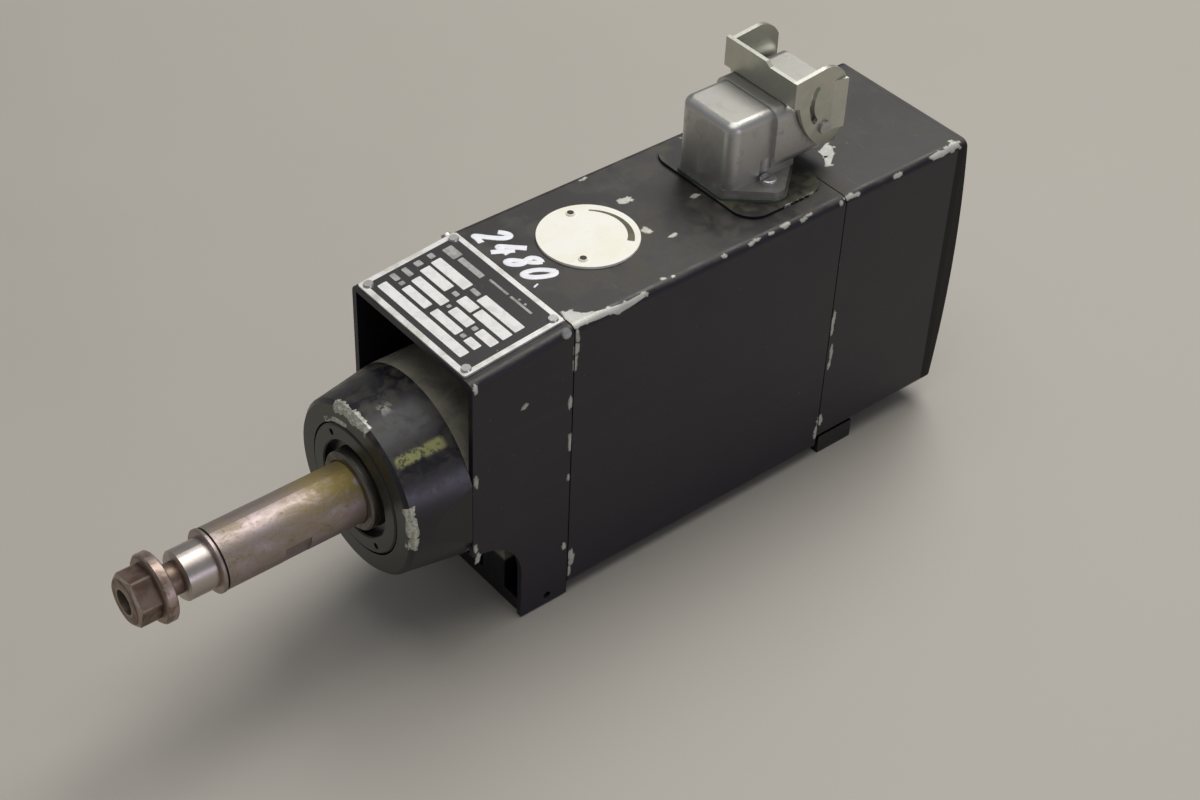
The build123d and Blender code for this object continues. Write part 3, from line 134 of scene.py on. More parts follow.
class Finish:
    def __init__(self, name, metallic=0.0, rough=0.5):
        self.material = bpy.data.materials.new(name)
        self.material.use_nodes = True
        self.tree = self.material.node_tree
        self.shader = self.tree.nodes["Principled BSDF"]
        self.shader.inputs["Metallic"].default_value = metallic
        self.shader.inputs["Roughness"].default_value = rough

    def add(self, kind, settings, feeds, out=0):
        node = self.tree.nodes.new(kind)
        for key, value in settings.items():
            setattr(node, key, value)
        for key, value in feeds.items():
            self.feed(node.inputs[key], value)
        if isinstance(out, tuple):
            return [Wire(self, node.outputs[o]) for o in out]
        return Wire(self, node.outputs[out])

    def feed(self, socket, value):
        if isinstance(value, Wire):
            self.tree.links.new(value.socket, socket)
        else:
            socket.default_value = value

    def math(self, operation, first, second):
        return self.add("ShaderNodeMath", {"operation": operation}, {0: first, 1: second})

    def most(self, first, second):
        return self.math("MAXIMUM", first, second)

    def place(self):
        spot = self.add("ShaderNodeTexCoord", {}, {}, "Object")
        return self.add("ShaderNodeVectorMath", {"operation": "SCALE"}, {0: spot, "Scale": 1000.0})

    def split(self, vector):
        return self.add("ShaderNodeSeparateXYZ", {}, {0: vector}, (0, 1, 2))

    def stretch(self, vector, scale, turn=(0, 0, 0)):
        return self.add("ShaderNodeMapping", {}, {"Vector": vector, "Scale": scale, "Rotation": turn})

    def facing(self):
        return self.split(self.add("ShaderNodeNewGeometry", {}, {}, "Normal"))

    def noise(self, vector, scale, detail=3.0, rough=0.55, warp=0.0):
        return self.add(
            "ShaderNodeTexNoise",
            {"noise_dimensions": "3D"},
            {"Vector": vector, "Scale": scale, "Detail": detail, "Roughness": rough, "Distortion": warp},
        )

    def cells(self, vector, scale, feature="F1"):
        return self.add("ShaderNodeTexVoronoi", {"feature": feature}, {"Vector": vector, "Scale": scale}, 0)

    def step(self, value, low, high):
        return self.add(
            "ShaderNodeMapRange",
            {"interpolation_type": "SMOOTHSTEP", "clamp": True},
            {"Value": value, "From Min": low, "From Max": high},
        )

    def mix(self, factor, first, second):
        ends = [c if isinstance(c, Wire) else (*c, 1.0) for c in (first, second)]
        return self.add("ShaderNodeMix", {"data_type": "RGBA"}, {0: factor, 6: ends[0], 7: ends[1]}, 2)

    def bump(self, height, strength, distance):
        return self.add("ShaderNodeBump", {}, {"Height": height, "Strength": strength, "Distance": distance})

    def root(self, value):
        return self.math("SQRT", value, 0.0)

    def fromAxis(self, y, z):
        return self.root(y * y + z * z)

    def done(self, **sockets):
        for key, value in sockets.items():
            if isinstance(value, tuple):
                value = (*value, 1.0)
            self.feed(self.shader.inputs[key.replace("_", " ")], value)
        return self.material


def nearTo(kit, value, spots, reach):
    mask = None
    for spot in spots:
        one = 1.0 - kit.step(abs(value - spot), 0.25, reach)
        mask = one if mask is None else kit.most(mask, one)
    return mask


# the body's own places and sizes, in mm
bodySet = {
    "seamOne": -109.9,
    "seamTwo": -218.9,
    "coverSideEnd": -269.4,
    "hoodFront": -73.0,
    "noseFace": -51.4,
    "wide": 30.0,  # half width
    "top": 52.6,
    "coverLow": -48.5,
    "bend": 2.6,
    "hoodDrop": 3.7,
    "hoodLong": 36.9,
    "seamHalf": 0.2,
}
seamOne, seamTwo = bodySet["seamOne"], bodySet["seamTwo"]

# black paint
paintSet = {
    # side and top: the sides get a darker, purple-tinted colour and upward faces a lighter warm grey; the
    # darker sides are painted shade and their purple is a painted sheen
    "side": (0.0052, 0.0032, 0.0100),
    "top": (0.0175, 0.0155, 0.0138),
    "dust": (0.110, 0.096, 0.078),
    "haze": (0.014, 0.014, 0.018),
    "nick": (0.30, 0.29, 0.28),
    "bare": (0.56, 0.55, 0.53),
    "primer": (0.33, 0.34, 0.25),
    # at the end plate's edge on the sides: a near-black line that is painted shadow of the gap there, then
    # edgeStrip, the plate's dark olive edge
    "gapShadow": (0.0012, 0.0011, 0.0008),
    "edgeStrip": (0.0085, 0.0080, 0.0042),
    "gapShadowWide": 2.4,
    "dustShare": 0.50,
    "hazeShare": 0.30,
    "scratchShare": 0.10,
    "nickShare": 0.16,
    "rough": 0.33,
    "bump": 0.22,
}


def blackPaint(
    name,
    seams=(),
    wide=bodySet["wide"],
    high=bodySet["top"],
    low=-bodySet["top"],
    seamWear=0.84,
    bendWear=0.88,
    dusty=1.0,
    gloss=0.0,
    edgeBand=None,
    dust=paintSet["dust"],
):
    kit = Finish(name)
    at = kit.place()
    x, y, z = kit.split(at)
    faceZ = kit.facing()[2]
    fine = kit.noise(at, 0.9, 4.0, 0.6)
    broad = kit.noise(at, 0.045, 3.0, 0.55, 0.4)
    patch = kit.noise(at, 0.16, 4.0, 0.6, 0.6)
    flake = kit.noise(at, 0.42, 5.0, 0.62, 0.5)
    upward = kit.step(faceZ, 0.45, 0.95)
    # upward faces lighter than the sides: the sides' darker, purple-tinted colour is painted shade with a
    # painted purple sheen
    colour = kit.mix(upward, paintSet["side"], paintSet["top"])
    dustMask = upward * kit.step(broad * 0.6 + patch * 0.4, 0.44, 0.66) * (paintSet["dustShare"] * dusty)
    colour = kit.mix(dustMask, colour, dust)
    smear = kit.noise(kit.stretch(at, (0.02, 0.25, 0.3), (0, 0.35, 0.2)), 1.0, 3.0, 0.6)
    haze = kit.step(smear, 0.50, 0.78) * paintSet["hazeShare"]
    colour = kit.mix(haze, colour, paintSet["haze"])
    bend = kit.step(abs(y), wide - 2.6, wide - 0.6) * kit.most(
        kit.step(z, high - 2.8, high - 0.7), kit.step(-z, -low - 2.8, -low - 0.7)
    )
    worn = kit.step(bend * (flake * 0.55 + broad * 0.45) * bendWear, 0.555, 0.575)
    if seams:
        along = nearTo(kit, x, seams, 1.7)
        worn = kit.most(worn, kit.step(along * (flake * 0.62 + patch * 0.38) * seamWear, 0.53, 0.555))
    speck = 1.0 - kit.step(kit.cells(at, 0.11), 0.018, 0.055)
    speck = speck * kit.step(patch, 0.57, 0.60)
    worn = kit.most(worn, speck)
    scratch = kit.noise(kit.stretch(at, (0.9, 0.06, 0.9), (0.2, 0.1, 0.9)), 1.4, 2.0, 0.5)
    scratch = kit.step(scratch, 0.715, 0.735) * upward * paintSet["scratchShare"]
    nicks = (1.0 - kit.step(kit.cells(at, 0.30), 0.05, 0.11)) * kit.step(patch, 0.50, 0.56)
    colour = kit.mix(kit.most(scratch, nicks * paintSet["nickShare"]), colour, paintSet["nick"])
    rim = kit.step(flake, 0.42, 0.62)
    bare = kit.mix(rim, paintSet["primer"], paintSet["bare"])
    colour = kit.mix(worn, colour, bare)
    rough = paintSet["rough"] - 0.12 * gloss + fine * 0.10 + dustMask * 0.55 + broad * 0.10
    rough = rough + worn * 0.06
    # end plate's edge on the side faces: a near-black line of painted gap shadow, then the plate's dark olive
    # edge strip
    if edgeBand is not None:
        band = kit.step(-x, edgeBand - 0.15, edgeBand + 0.15) * kit.step(abs(y), wide - 0.3, wide - 0.1)
        outer = kit.step(-x, edgeBand + paintSet["gapShadowWide"], edgeBand + paintSet["gapShadowWide"] + 1.0)
        gapShadowAndStrip = kit.mix(outer, paintSet["gapShadow"], paintSet["edgeStrip"])
        colour = kit.mix(band, colour, gapShadowAndStrip)
        rough = rough + band * 0.35
    height = fine * 0.35 + kit.noise(at, 2.6, 2.0, 0.5) * 0.25 - worn * 0.8
    return kit.done(
        Base_Color=colour,
        Roughness=rough,
        Metallic=worn * 0.75,
        Normal=kit.bump(height, paintSet["bump"], 0.00025),
    )


# metals
metalSet = {
    "pit": (0.10, 0.07, 0.045),
    "brushedShade": 0.62,
    "footPaint": (0.0042, 0.0036, 0.0050),
    "footGloss": 0.28,
}


def steel(
    name,
    light,
    stain,
    staining,
    rough,
    rings=0.0,
    grain=(1.0, 1.0, 1.0),
    spots=0.25,
    stops=(0.46, 0.66),
):
    kit = Finish(name, 1.0, rough)
    at = kit.place()
    x = kit.split(at)[0]
    patch = kit.noise(at, 0.17, 5.0, 0.62, 0.8)
    broad = kit.noise(at, 0.06, 3.0, 0.5, 0.5)
    brushed = kit.noise(kit.stretch(at, grain), 1.0, 3.0, 0.6)
    pit = kit.step(kit.noise(at, 1.1, 3.0, 0.6), 0.62, 0.70) * spots
    mask = kit.step(patch * 0.6 + broad * 0.4, stops[0], stops[1]) * staining
    colour = kit.mix(mask, light, stain)
    colour = kit.mix(pit, colour, metalSet["pit"])
    colour = kit.mix(brushed * 0.25, colour, tuple(c * metalSet["brushedShade"] for c in light))
    height = brushed * 0.5 + pit * -0.7
    if rings > 0:
        turnedRings = kit.math("SINE", x * (2 * math.pi / rings), 0.0)
        height = height + turnedRings * 0.25
    return kit.done(
        Base_Color=colour,
        Metallic=1.0 - mask * 0.35 - pit * 0.6,
        Roughness=rough + mask * 0.18 + pit * 0.3 + brushed * 0.10,
        Normal=kit.bump(height, 0.16, 0.0002),
    )


def casting(
    name,
    colour,
    dark,
    rough,
    coarse=0.9,
    metallic=0.0,
    dusty=(0.27, 0.24, 0.18),
    footTop=None,
):
    kit = Finish(name, metallic, rough)
    at = kit.place()
    grit = kit.noise(at, coarse, 4.0, 0.65)
    patch = kit.noise(at, 0.12, 4.0, 0.6, 0.6)
    faceZ = kit.facing()[2]
    base = kit.mix(kit.step(patch, 0.38, 0.66), dark, colour)
    base = kit.mix(kit.step(faceZ, 0.1, 0.9) * kit.step(grit, 0.30, 0.65) * 0.6, base, dusty)
    if footTop is not None:
        foot = kit.step(footTop - kit.split(at)[2], 0.0, 2.0)
        base = kit.mix(foot, base, metalSet["footPaint"])
        rough = rough - foot * metalSet["footGloss"]
    return kit.done(
        Base_Color=base,
        Roughness=rough + grit * 0.2,
        Normal=kit.bump(grit + patch * 0.6, 0.45, 0.0004),
    )


def plain(name, colour, shade, rough, metallic=0.0, scale=0.6, depth=0.2):
    kit = Finish(name, metallic, rough)
    at = kit.place()
    grit = kit.noise(at, scale, 4.0, 0.6)
    cloud = kit.noise(at, 0.12, 3.0, 0.6)
    base = kit.mix(kit.step(cloud * 0.6 + grit * 0.4, 0.35, 0.68), colour, shade)
    return kit.done(
        Base_Color=base, Roughness=rough + grit * 0.15, Normal=kit.bump(grit, depth, 0.0002)
    )


noseSet = {
    "paint": (0.0056, 0.0044, 0.0078),
    "dust": (0.090, 0.082, 0.056),
    "face": (0.020, 0.0195, 0.0125),
    "streak": (0.40, 0.40, 0.15),
    "primer": (0.34, 0.35, 0.26),
    "bare": (0.58, 0.57, 0.52),
    "dustShare": 0.42,
    "streakTurn": 49.5,  # degrees about the axis, from the near side upwards
    "streakAlong": (53.0, 69.6),
    "scuffTurn": (79, 85),
    "scuffAlong": (58.0, 62.5),
    "topChip": (74, 112),
    "sideChip": (-10, 24),
    "capChip": (96, 132),
    "capRadius": 22.6,
    "ragged": 9.0,
    "rough": 0.25,
}


def nosePaint():
    kit = Finish("nosePaint")
    at = kit.place()
    x, y, z = kit.split(at)
    radius = kit.fromAxis(y, z)
    fine = kit.noise(at, 0.8, 4.0, 0.6)
    patch = kit.noise(at, 0.2, 4.0, 0.6, 0.7)
    flake = kit.noise(at, 0.45, 5.0, 0.62, 0.6)
    faceZ = kit.facing()[2]
    noseFace = bodySet["noseFace"]
    dust = kit.step(faceZ, 0.30, 0.85) * kit.step(patch, 0.38, 0.68) * noseSet["dustShare"]
    colour = kit.mix(dust, noseSet["paint"], noseSet["dust"])
    faceTone = kit.step(x, noseFace - 0.5, noseFace - 0.2) * 0.8
    colour = kit.mix(faceTone, colour, noseSet["face"])
    front = kit.step(x, noseFace - 2.4, noseFace - 1.2)
    turn = kit.math("ARCTAN2", z, y) * (180 / math.pi)

    def sector(ends):
        low, high = ends
        return kit.step(turn, low - 3, low + 3) * (1.0 - kit.step(turn, high - 3, high + 3))

    def span(ends, soft):
        low, high = ends
        return kit.step(-x, low, low + soft[0]) * (1.0 - kit.step(-x, high - soft[1], high + soft[1]))

    # chips at the rim, the cap's edge and the root
    ragged = (patch * 0.72 + flake * 0.28 - 0.5) * noseSet["ragged"]
    deeper = kit.step(x + ragged * 0.6, noseFace - 2.8, noseFace - 2.2)
    sideRim = kit.step(radius + ragged, 26.4, 27.4) * sector(noseSet["sideChip"])
    rim = kit.step(radius + ragged, 25.4, 26.4) * deeper * kit.most(sector(noseSet["topChip"]), sideRim)
    thin = kit.step(radius, 27.6, 28.6) * front * 0.80
    root = (1.0 - kit.step(abs(x - (bodySet["hoodFront"] + 0.2)), 0.2, 1.2)) * 0.78
    capEdge = 1.0 - kit.step(abs(radius - noseSet["capRadius"]), 0.9, 1.9)
    inner = capEdge * front * sector(noseSet["capChip"])
    wear = kit.most(kit.most(rim * 1.28, thin), kit.most(root, inner * 1.1))
    worn = kit.step(wear * (flake * 0.6 + patch * 0.4), 0.50, 0.53)
    streak = 1.0 - kit.step(abs(turn - noseSet["streakTurn"]), 2.0, 4.6)
    green = streak * span(noseSet["streakAlong"], (1.6, 1.0))
    green = green * kit.step(flake * 0.6 + fine * 0.4, 0.40, 0.54) * 0.72
    colour = kit.mix(green, colour, noseSet["streak"])
    scuffed = sector(noseSet["scuffTurn"]) * span(noseSet["scuffAlong"], (1.0, 0.5))
    worn = kit.most(worn, scuffed * kit.step(flake, 0.52, 0.55) * 0.5)
    bare = kit.mix(kit.step(fine, 0.4, 0.6), noseSet["primer"], noseSet["bare"])
    colour = kit.mix(worn, colour, bare)
    return kit.done(
        Base_Color=colour,
        Roughness=noseSet["rough"] + fine * 0.14 + dust * 0.6 + worn * 0.15 + green * 0.3,
        Metallic=worn * 0.6,
        Normal=kit.bump(fine * 0.3 - worn * 0.6, 0.20, 0.00022),
    )


shaftSet = {
    "steel": (0.40, 0.33, 0.325),
    "aged": (0.27, 0.225, 0.175),
    "film": (0.27, 0.205, 0.060),
    "spot": (0.20, 0.16, 0.085),
    "seat": (0.55, 0.50, 0.45),
    # near-black colour in the groove: painted shade
    "groove": (0.03, 0.022, 0.015),
    "filmAlong": (18.0, 46.0),  # the film grows towards the nose
    "grooveAt": -1.55,
    "agedShare": 0.8,
    "spotShare": 0.55,
    "rough": 0.38,
}


def shaftSteel():
    kit = Finish("shaftSteel", 1.0, 0.3)
    at = kit.place()
    x = kit.split(at)[0]
    patch = kit.noise(kit.stretch(at, (0.55, 1.0, 1.0)), 0.20, 5.0, 0.62, 0.9)
    broad = kit.noise(at, 0.07, 3.0, 0.5, 0.5)
    fine = kit.noise(at, 1.3, 3.0, 0.6)
    rings = kit.noise(kit.stretch(at, (3.2, 0.05, 0.05)), 1.0, 2.0, 0.6)
    nearNose = kit.step(-x, *shaftSet["filmAlong"])
    behindSeat = kit.step(-x, 0.5, 3.0)
    faceZ = kit.facing()[2]
    film = kit.step(patch * 0.65 + broad * 0.35, 0.40, 0.64) * (0.30 + nearNose * 0.20)
    film = kit.most(film, nearNose * kit.step(faceZ, 0.25, 0.8) * kit.step(patch, 0.30, 0.52))
    cloud = kit.step(patch * 0.35 + broad * 0.45 + fine * 0.2, 0.36, 0.60)
    aged = kit.step(faceZ, -0.25, 0.45) * cloud * shaftSet["agedShare"] * behindSeat
    spot = kit.step(fine * 0.6 + patch * 0.4, 0.56, 0.63) * shaftSet["spotShare"] * behindSeat
    seat = kit.step(x, 0.0, 0.4)
    colour = kit.mix(aged, shaftSet["steel"], shaftSet["aged"])
    colour = kit.mix(film, colour, shaftSet["film"])
    colour = kit.mix(spot, colour, shaftSet["spot"])
    colour = kit.mix(seat * 0.75, colour, shaftSet["seat"])
    # the groove is darkened to near black: painted shade in the recess
    groove = 1.0 - kit.step(abs(x - shaftSet["grooveAt"]), 0.30, 0.5)
    colour = kit.mix(groove * 0.85, colour, shaftSet["groove"])
    return kit.done(
        Base_Color=colour,
        Metallic=1.0 - film * 0.30 - spot * 0.4 - aged * 0.25,
        Roughness=shaftSet["rough"] + film * 0.12 + aged * 0.14 + spot * 0.2 + rings * 0.10 - seat * 0.12,
        Normal=kit.bump(rings * 0.6 - spot * 0.4, 0.14, 0.0002),
    )


clampSet = {
    "across": 15.0,
    "headRear": 18.8,
    "headFront": 26.6,
    "washerRadius": 11.0,
    "shankRadius": 5.0,
    "steel": (0.27, 0.195, 0.155),
    "rust": (0.125, 0.078, 0.055),
    "wornEdge": (0.45, 0.36, 0.31),
    "shank": (0.30, 0.255, 0.20),
    "rough": 0.36,
}


def clampSteel():
    kit = Finish("clampSteel", 1.0, 0.34)
    at = kit.place()
    x, y, z = kit.split(at)
    radius = kit.fromAxis(y, z)
    patch = kit.noise(at, 0.22, 3.0, 0.5, 0.3)
    fine = kit.noise(at, 1.3, 3.0, 0.6)
    base = kit.mix(kit.step(patch, 0.30, 0.72), clampSet["steel"], clampSet["rust"])
    corner = clampSet["across"] / math.sqrt(3)
    headRear, headFront, rim = clampSet["headRear"], clampSet["headFront"], clampSet["washerRadius"]
    head = kit.step(x, headRear - 0.1, headRear + 0.1)
    ridge = kit.step(radius, corner - 0.30, corner - 0.10) * head
    chamfer = kit.step(x, headFront - 1.5, headFront - 1.2) * kit.step(radius, corner - 1.5, corner - 1.1)
    flange = kit.step(radius, rim - 0.7, rim - 0.3) * kit.step(patch, 0.40, 0.55)
    edges = kit.most(kit.most(ridge, chamfer), flange)
    worn = edges * kit.step(fine * 0.5 + patch * 0.5, 0.34, 0.50) * 0.8
    base = kit.mix(worn, base, clampSet["wornEdge"])
    shank = 1.0 - kit.step(radius, clampSet["shankRadius"] - 0.4, clampSet["shankRadius"])
    base = kit.mix(shank * 0.85, base, clampSet["shank"])
    return kit.done(
        Base_Color=base,
        Metallic=1.0 - patch * 0.35,
        Roughness=clampSet["rough"] + patch * 0.16 - worn * 0.08,
        Normal=kit.bump(patch * 0.7 + fine * 0.3, 0.22, 0.0003),
    )


alloySet = {
    "cast": (0.57, 0.56, 0.54),
    "dirt": (0.34, 0.33, 0.285),
    # top: darker colour for upward faces, painted shade that tones down how bright the top lamp makes them
    "top": (0.30, 0.295, 0.262),
    "grit": (0.27, 0.26, 0.235),
    "topShadeShare": 0.75,
    "rough": 0.36,
}


def diecast():
    kit = Finish("diecastAlloy", 1.0, 0.36)
    at = kit.place()
    grit = kit.noise(at, 1.5, 4.0, 0.65)
    cloud = kit.noise(at, 0.16, 4.0, 0.6, 0.6)
    faceZ = kit.facing()[2]
    dirt = kit.step(cloud, 0.52, 0.70) * 0.5
    colour = kit.mix(dirt, alloySet["cast"], alloySet["dirt"])
    # upward faces darker: painted shade against the top lamp
    colour = kit.mix(kit.step(faceZ, 0.75, 0.97) * alloySet["topShadeShare"], colour, alloySet["top"])
    colour = kit.mix(kit.step(grit, 0.58, 0.72) * 0.35, colour, alloySet["grit"])
    return kit.done(
        Base_Color=colour,
        Metallic=1.0 - dirt * 0.4,
        Roughness=alloySet["rough"] + grit * 0.14 + dirt * 0.2,
        Normal=kit.bump(grit * 0.6 + cloud * 0.5, 0.28, 0.0003),
    )


labelSet = {
    "cream": (0.90, 0.885, 0.80),
    "yellowed": (0.88, 0.84, 0.70),
    "scuff": (0.55, 0.52, 0.42),
    "pinHead": (0.86, 0.83, 0.72),
    "pinDark": (0.014, 0.012, 0.008),
    "headRadius": 1.6,
    "darkRadius": 1.0,
}


def labelPrint():
    kit = Finish("labelPrint")
    at = kit.place()
    cloud = kit.noise(at, 0.10, 4.0, 0.6, 0.5)
    grit = kit.noise(at, 1.0, 3.0, 0.6)
    scuff = kit.noise(kit.stretch(at, (0.3, 0.9, 1.0), (0, 0, 0.6)), 1.0, 3.0, 0.6)
    colour = kit.mix(kit.step(cloud, 0.35, 0.7), labelSet["cream"], labelSet["yellowed"])
    colour = kit.mix(kit.step(scuff, 0.64, 0.74) * 0.35, colour, labelSet["scuff"])
    return kit.done(Base_Color=colour, Roughness=0.36 + grit * 0.12, Normal=kit.bump(grit, 0.1, 0.0001))


def pinFinish():
    low, high = (Vector(corner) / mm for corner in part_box("label_pins"))
    head, darkRadius = labelSet["headRadius"], labelSet["darkRadius"]
    kit = Finish("pinDarkCentres", 0.0, 0.55)
    at = kit.place()
    x, y = kit.split(at)[:2]
    grit = kit.noise(at, 1.4, 3.0, 0.6)
    dark = None
    # each pin head gets a dark disc at its middle
    for middleX, middleY in ((high.x - head, high.y - head), (low.x + head, low.y + head)):
        away = kit.root((x - middleX) ** 2 + (y - middleY) ** 2)
        one = 1.0 - kit.step(away, darkRadius, darkRadius + 0.25)
        dark = one if dark is None else kit.most(dark, one)
    base = kit.mix(dark, labelSet["pinHead"], labelSet["pinDark"])
    return kit.done(Base_Color=base, Roughness=0.42 + grit * 0.15, Normal=kit.bump(grit, 0.15, 0.0001))


plateFinishSet = {
    "middle": (-91.45, -1.0),
    "half": (18.1, 26.7),
    "slope": 1.005,  # along the slope for 1 along the body
    "border": 1.9,
    "silver": (0.84, 0.83, 0.80),
    "tarnish": (0.60, 0.58, 0.52),
    "black": (0.016, 0.015, 0.015),
    "grey": (0.05, 0.046, 0.042),
}


def plateFace():
    kit = Finish("ratingPlate", 1.0, 0.35)
    at = kit.place()
    x, y = kit.split(at)[:2]
    middleX, middleY = plateFinishSet["middle"]
    halfX, halfY = (half - plateFinishSet["border"] for half in plateFinishSet["half"])
    alongX = (x - middleX) * plateFinishSet["slope"]
    ends = kit.step(abs(alongX), halfX, halfX + 0.15)
    border = kit.most(ends, kit.step(abs(y - middleY), halfY, halfY + 0.15))
    grit = kit.noise(at, 1.2, 3.0, 0.6)
    cloud = kit.noise(at, 0.14, 4.0, 0.6, 0.5)
    border = kit.most(border, kit.step(grit * 0.6 + cloud * 0.4, 0.66, 0.69))
    silver = kit.mix(kit.step(cloud, 0.4, 0.7), plateFinishSet["silver"], plateFinishSet["tarnish"])
    black = kit.mix(grit * 0.5, plateFinishSet["black"], plateFinishSet["grey"])
    return kit.done(
        Base_Color=kit.mix(border, black, silver),
        Metallic=border * 0.35,
        Roughness=0.34 + grit * 0.15,
        Normal=kit.bump(border * 0.5 + grit * 0.2, 0.2, 0.0002),
    )


coverLow, sideEnd = bodySet["coverLow"], -bodySet["coverSideEnd"]
paintShroud = blackPaint("paintShroud", (seamOne, seamTwo))
paintCover = blackPaint("paintCover", (seamTwo,), low=coverLow, edgeBand=sideEnd)
paintHood = blackPaint("paintHood", (seamOne, bodySet["hoodFront"]), high=51.5, dusty=0.8)
paintRear = blackPaint("paintRear", (), bendWear=0.9, low=coverLow, edgeBand=sideEnd)
paintPad = blackPaint(
    "paintPad",
    wide=22.6,
    high=53.6,
    low=-200.0,
    bendWear=1.0,
    dusty=2.1,
    gloss=0.3,
    dust=(0.095, 0.098, 0.045),
)
noseBlack = nosePaint()
shaftMetal = shaftSteel()
diecastMetal = diecast()
screwSteel = steel("screwSteel", (0.58, 0.58, 0.57), (0.33, 0.28, 0.19), 0.5, 0.30)
darkSteel = steel("darkSteel", (0.20, 0.185, 0.16), (0.10, 0.075, 0.045), 0.8, 0.38, rings=0.8)
pinDarkCentres = pinFinish()
rustySteel = clampSteel()
bearingSteel = steel("bearingSteel", (0.62, 0.62, 0.61), (0.50, 0.47, 0.40), 0.3, 0.16, spots=0.05)
laminations = steel("laminations", (0.24, 0.245, 0.26), (0.13, 0.10, 0.075), 0.6, 0.5, rings=1.0)
leverZinc = steel(
    "leverZinc",
    (0.58, 0.585, 0.51),
    (0.43, 0.425, 0.34),
    0.6,
    0.30,
    grain=(0.3, 2.5, 0.3),
    spots=0.12,
    stops=(0.42, 0.72),
)
khakiCasting = casting("khakiCasting", (0.30, 0.28, 0.215), (0.17, 0.158, 0.122), 0.62, footTop=-38.0)
castAlloy = casting("castAlloy", (0.40, 0.39, 0.36), (0.25, 0.24, 0.22), 0.5, metallic=0.6)
copperWire = steel("copperWire", (0.62, 0.27, 0.11), (0.36, 0.12, 0.04), 0.6, 0.32, rings=1.1, spots=0.0)
gasketRubber = plain("gasketRubber", (0.045, 0.052, 0.040), (0.085, 0.092, 0.070), 0.55)
insertPlastic = plain("insertPlastic", (0.022, 0.022, 0.024), (0.035, 0.034, 0.034), 0.42)
contactBrass = plain("contactBrass", (0.80, 0.60, 0.30), (0.62, 0.44, 0.20), 0.22, 1.0)
leadCover = plain("leadCover", (0.33, 0.05, 0.035), (0.22, 0.035, 0.03), 0.45)
creamPrint = labelPrint()
plateBlack = plateFace()

dress = {
    paintShroud: ["stator_shroud"],
    paintCover: ["fan_cover"],
    paintHood: ["front_hood"],
    paintRear: ["rear_plate"],
    paintPad: ["connector_pad"],
    noseBlack: ["nose_housing", "bearing_cap"],
    shaftMetal: ["spindle_shaft"],
    darkSteel: ["labyrinth_ring", "bearing_lock_nut", "preload_spring", "nose_screws"],
    pinDarkCentres: ["label_pins"],
    rustySteel: ["clamp_washer", "clamp_screw"],
    bearingSteel: [
        "front_bearing_outer_rings",
        "front_bearing_inner_rings",
        "front_balls_1",
        "front_balls_2",
        "outer_spacer",
        "inner_spacer",
        "rear_bearing_outer_ring",
        "rear_bearing_inner_ring",
        "rear_balls",
    ],
    laminations: ["stator_core", "rotor_core"],
    khakiCasting: ["front_end_bell", "rear_end_bell"],
    castAlloy: ["cooling_fan", "rotor_end_rings"],
    copperWire: ["stator_winding"],
    screwSteel: [
        "rear_plate_screws",
        "hood_screws",
        "tie_rods",
        "tie_rod_nuts",
        "fan_clip",
        "connector_screws",
        "nameplate_rivets",
        "lever_pivots",
    ],
    diecastMetal: ["connector_housing"],
    gasketRubber: ["connector_gasket"],
    insertPlastic: ["connector_insert"],
    contactBrass: ["contact_pins"],
    leadCover: ["winding_leads"],
    leverZinc: ["locking_lever"],
    creamPrint: ["direction_label"],
    plateBlack: ["nameplate"],
}
for material, names in dress.items():
    for name in names:
        slots = nodes[name].data.materials
        slots.clear()
        slots.append(material)
print("stage: finishes on", sum(len(names) for names in dress.values()), "nodes")


# floor and world
stageSet = {
    "floorDark": (0.405, 0.378, 0.328),
    "floorLight": (0.445, 0.416, 0.365),
    "floorHalf": 4.0,  # metres
    "world": (0.90, 0.93, 1.0, 1.0),
    "worldStrength": 0.26,
}


def floorFinish():
    kit = Finish("paleFloor", 0.0, 0.45)
    at = kit.place()
    cloud = kit.noise(at, 0.006, 3.0, 0.5, 0.3)
    colour = kit.mix(cloud, stageSet["floorDark"], stageSet["floorLight"])
    return kit.done(Base_Color=colour, Roughness=0.5 + cloud * 0.1)


floorData = bpy.data.meshes.new("floor")
grow = bmesh.new()
bmesh.ops.create_grid(grow, x_segments=1, y_segments=1, size=stageSet["floorHalf"])
bmesh.ops.translate(grow, verts=grow.verts, vec=(0, 0, floorHeight * mm))
grow.to_mesh(floorData)
grow.free()
floorData.materials.append(floorFinish())
floor = bpy.data.objects.new("floor", floorData)
bpy.context.scene.collection.objects.link(floor)

world = bpy.data.worlds.new("paleWorld")
bpy.context.scene.world = world
world.use_nodes = True
background = world.node_tree.nodes["Background"].inputs
background["Color"].default_value = stageSet["world"]
background["Strength"].default_value = stageSet["worldStrength"]
bpy.context.scene.view_settings.view_transform = "Standard"


# thin printed pieces
def newPiece(name, mesh, material, body):
    data = bpy.data.meshes.new(name)
    bmesh.ops.remove_doubles(mesh, verts=mesh.verts, dist=1e-7)
    bmesh.ops.recalc_face_normals(mesh, faces=mesh.faces)
    mesh.to_mesh(data)
    mesh.free()
    data.materials.append(material)
    piece = bpy.data.objects.new(name, data)
    bpy.context.scene.collection.objects.link(piece)
    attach(piece, body)
    return piece


tileSet = {"corner": 0.35, "cornerShare": 0.2, "segments": 3}


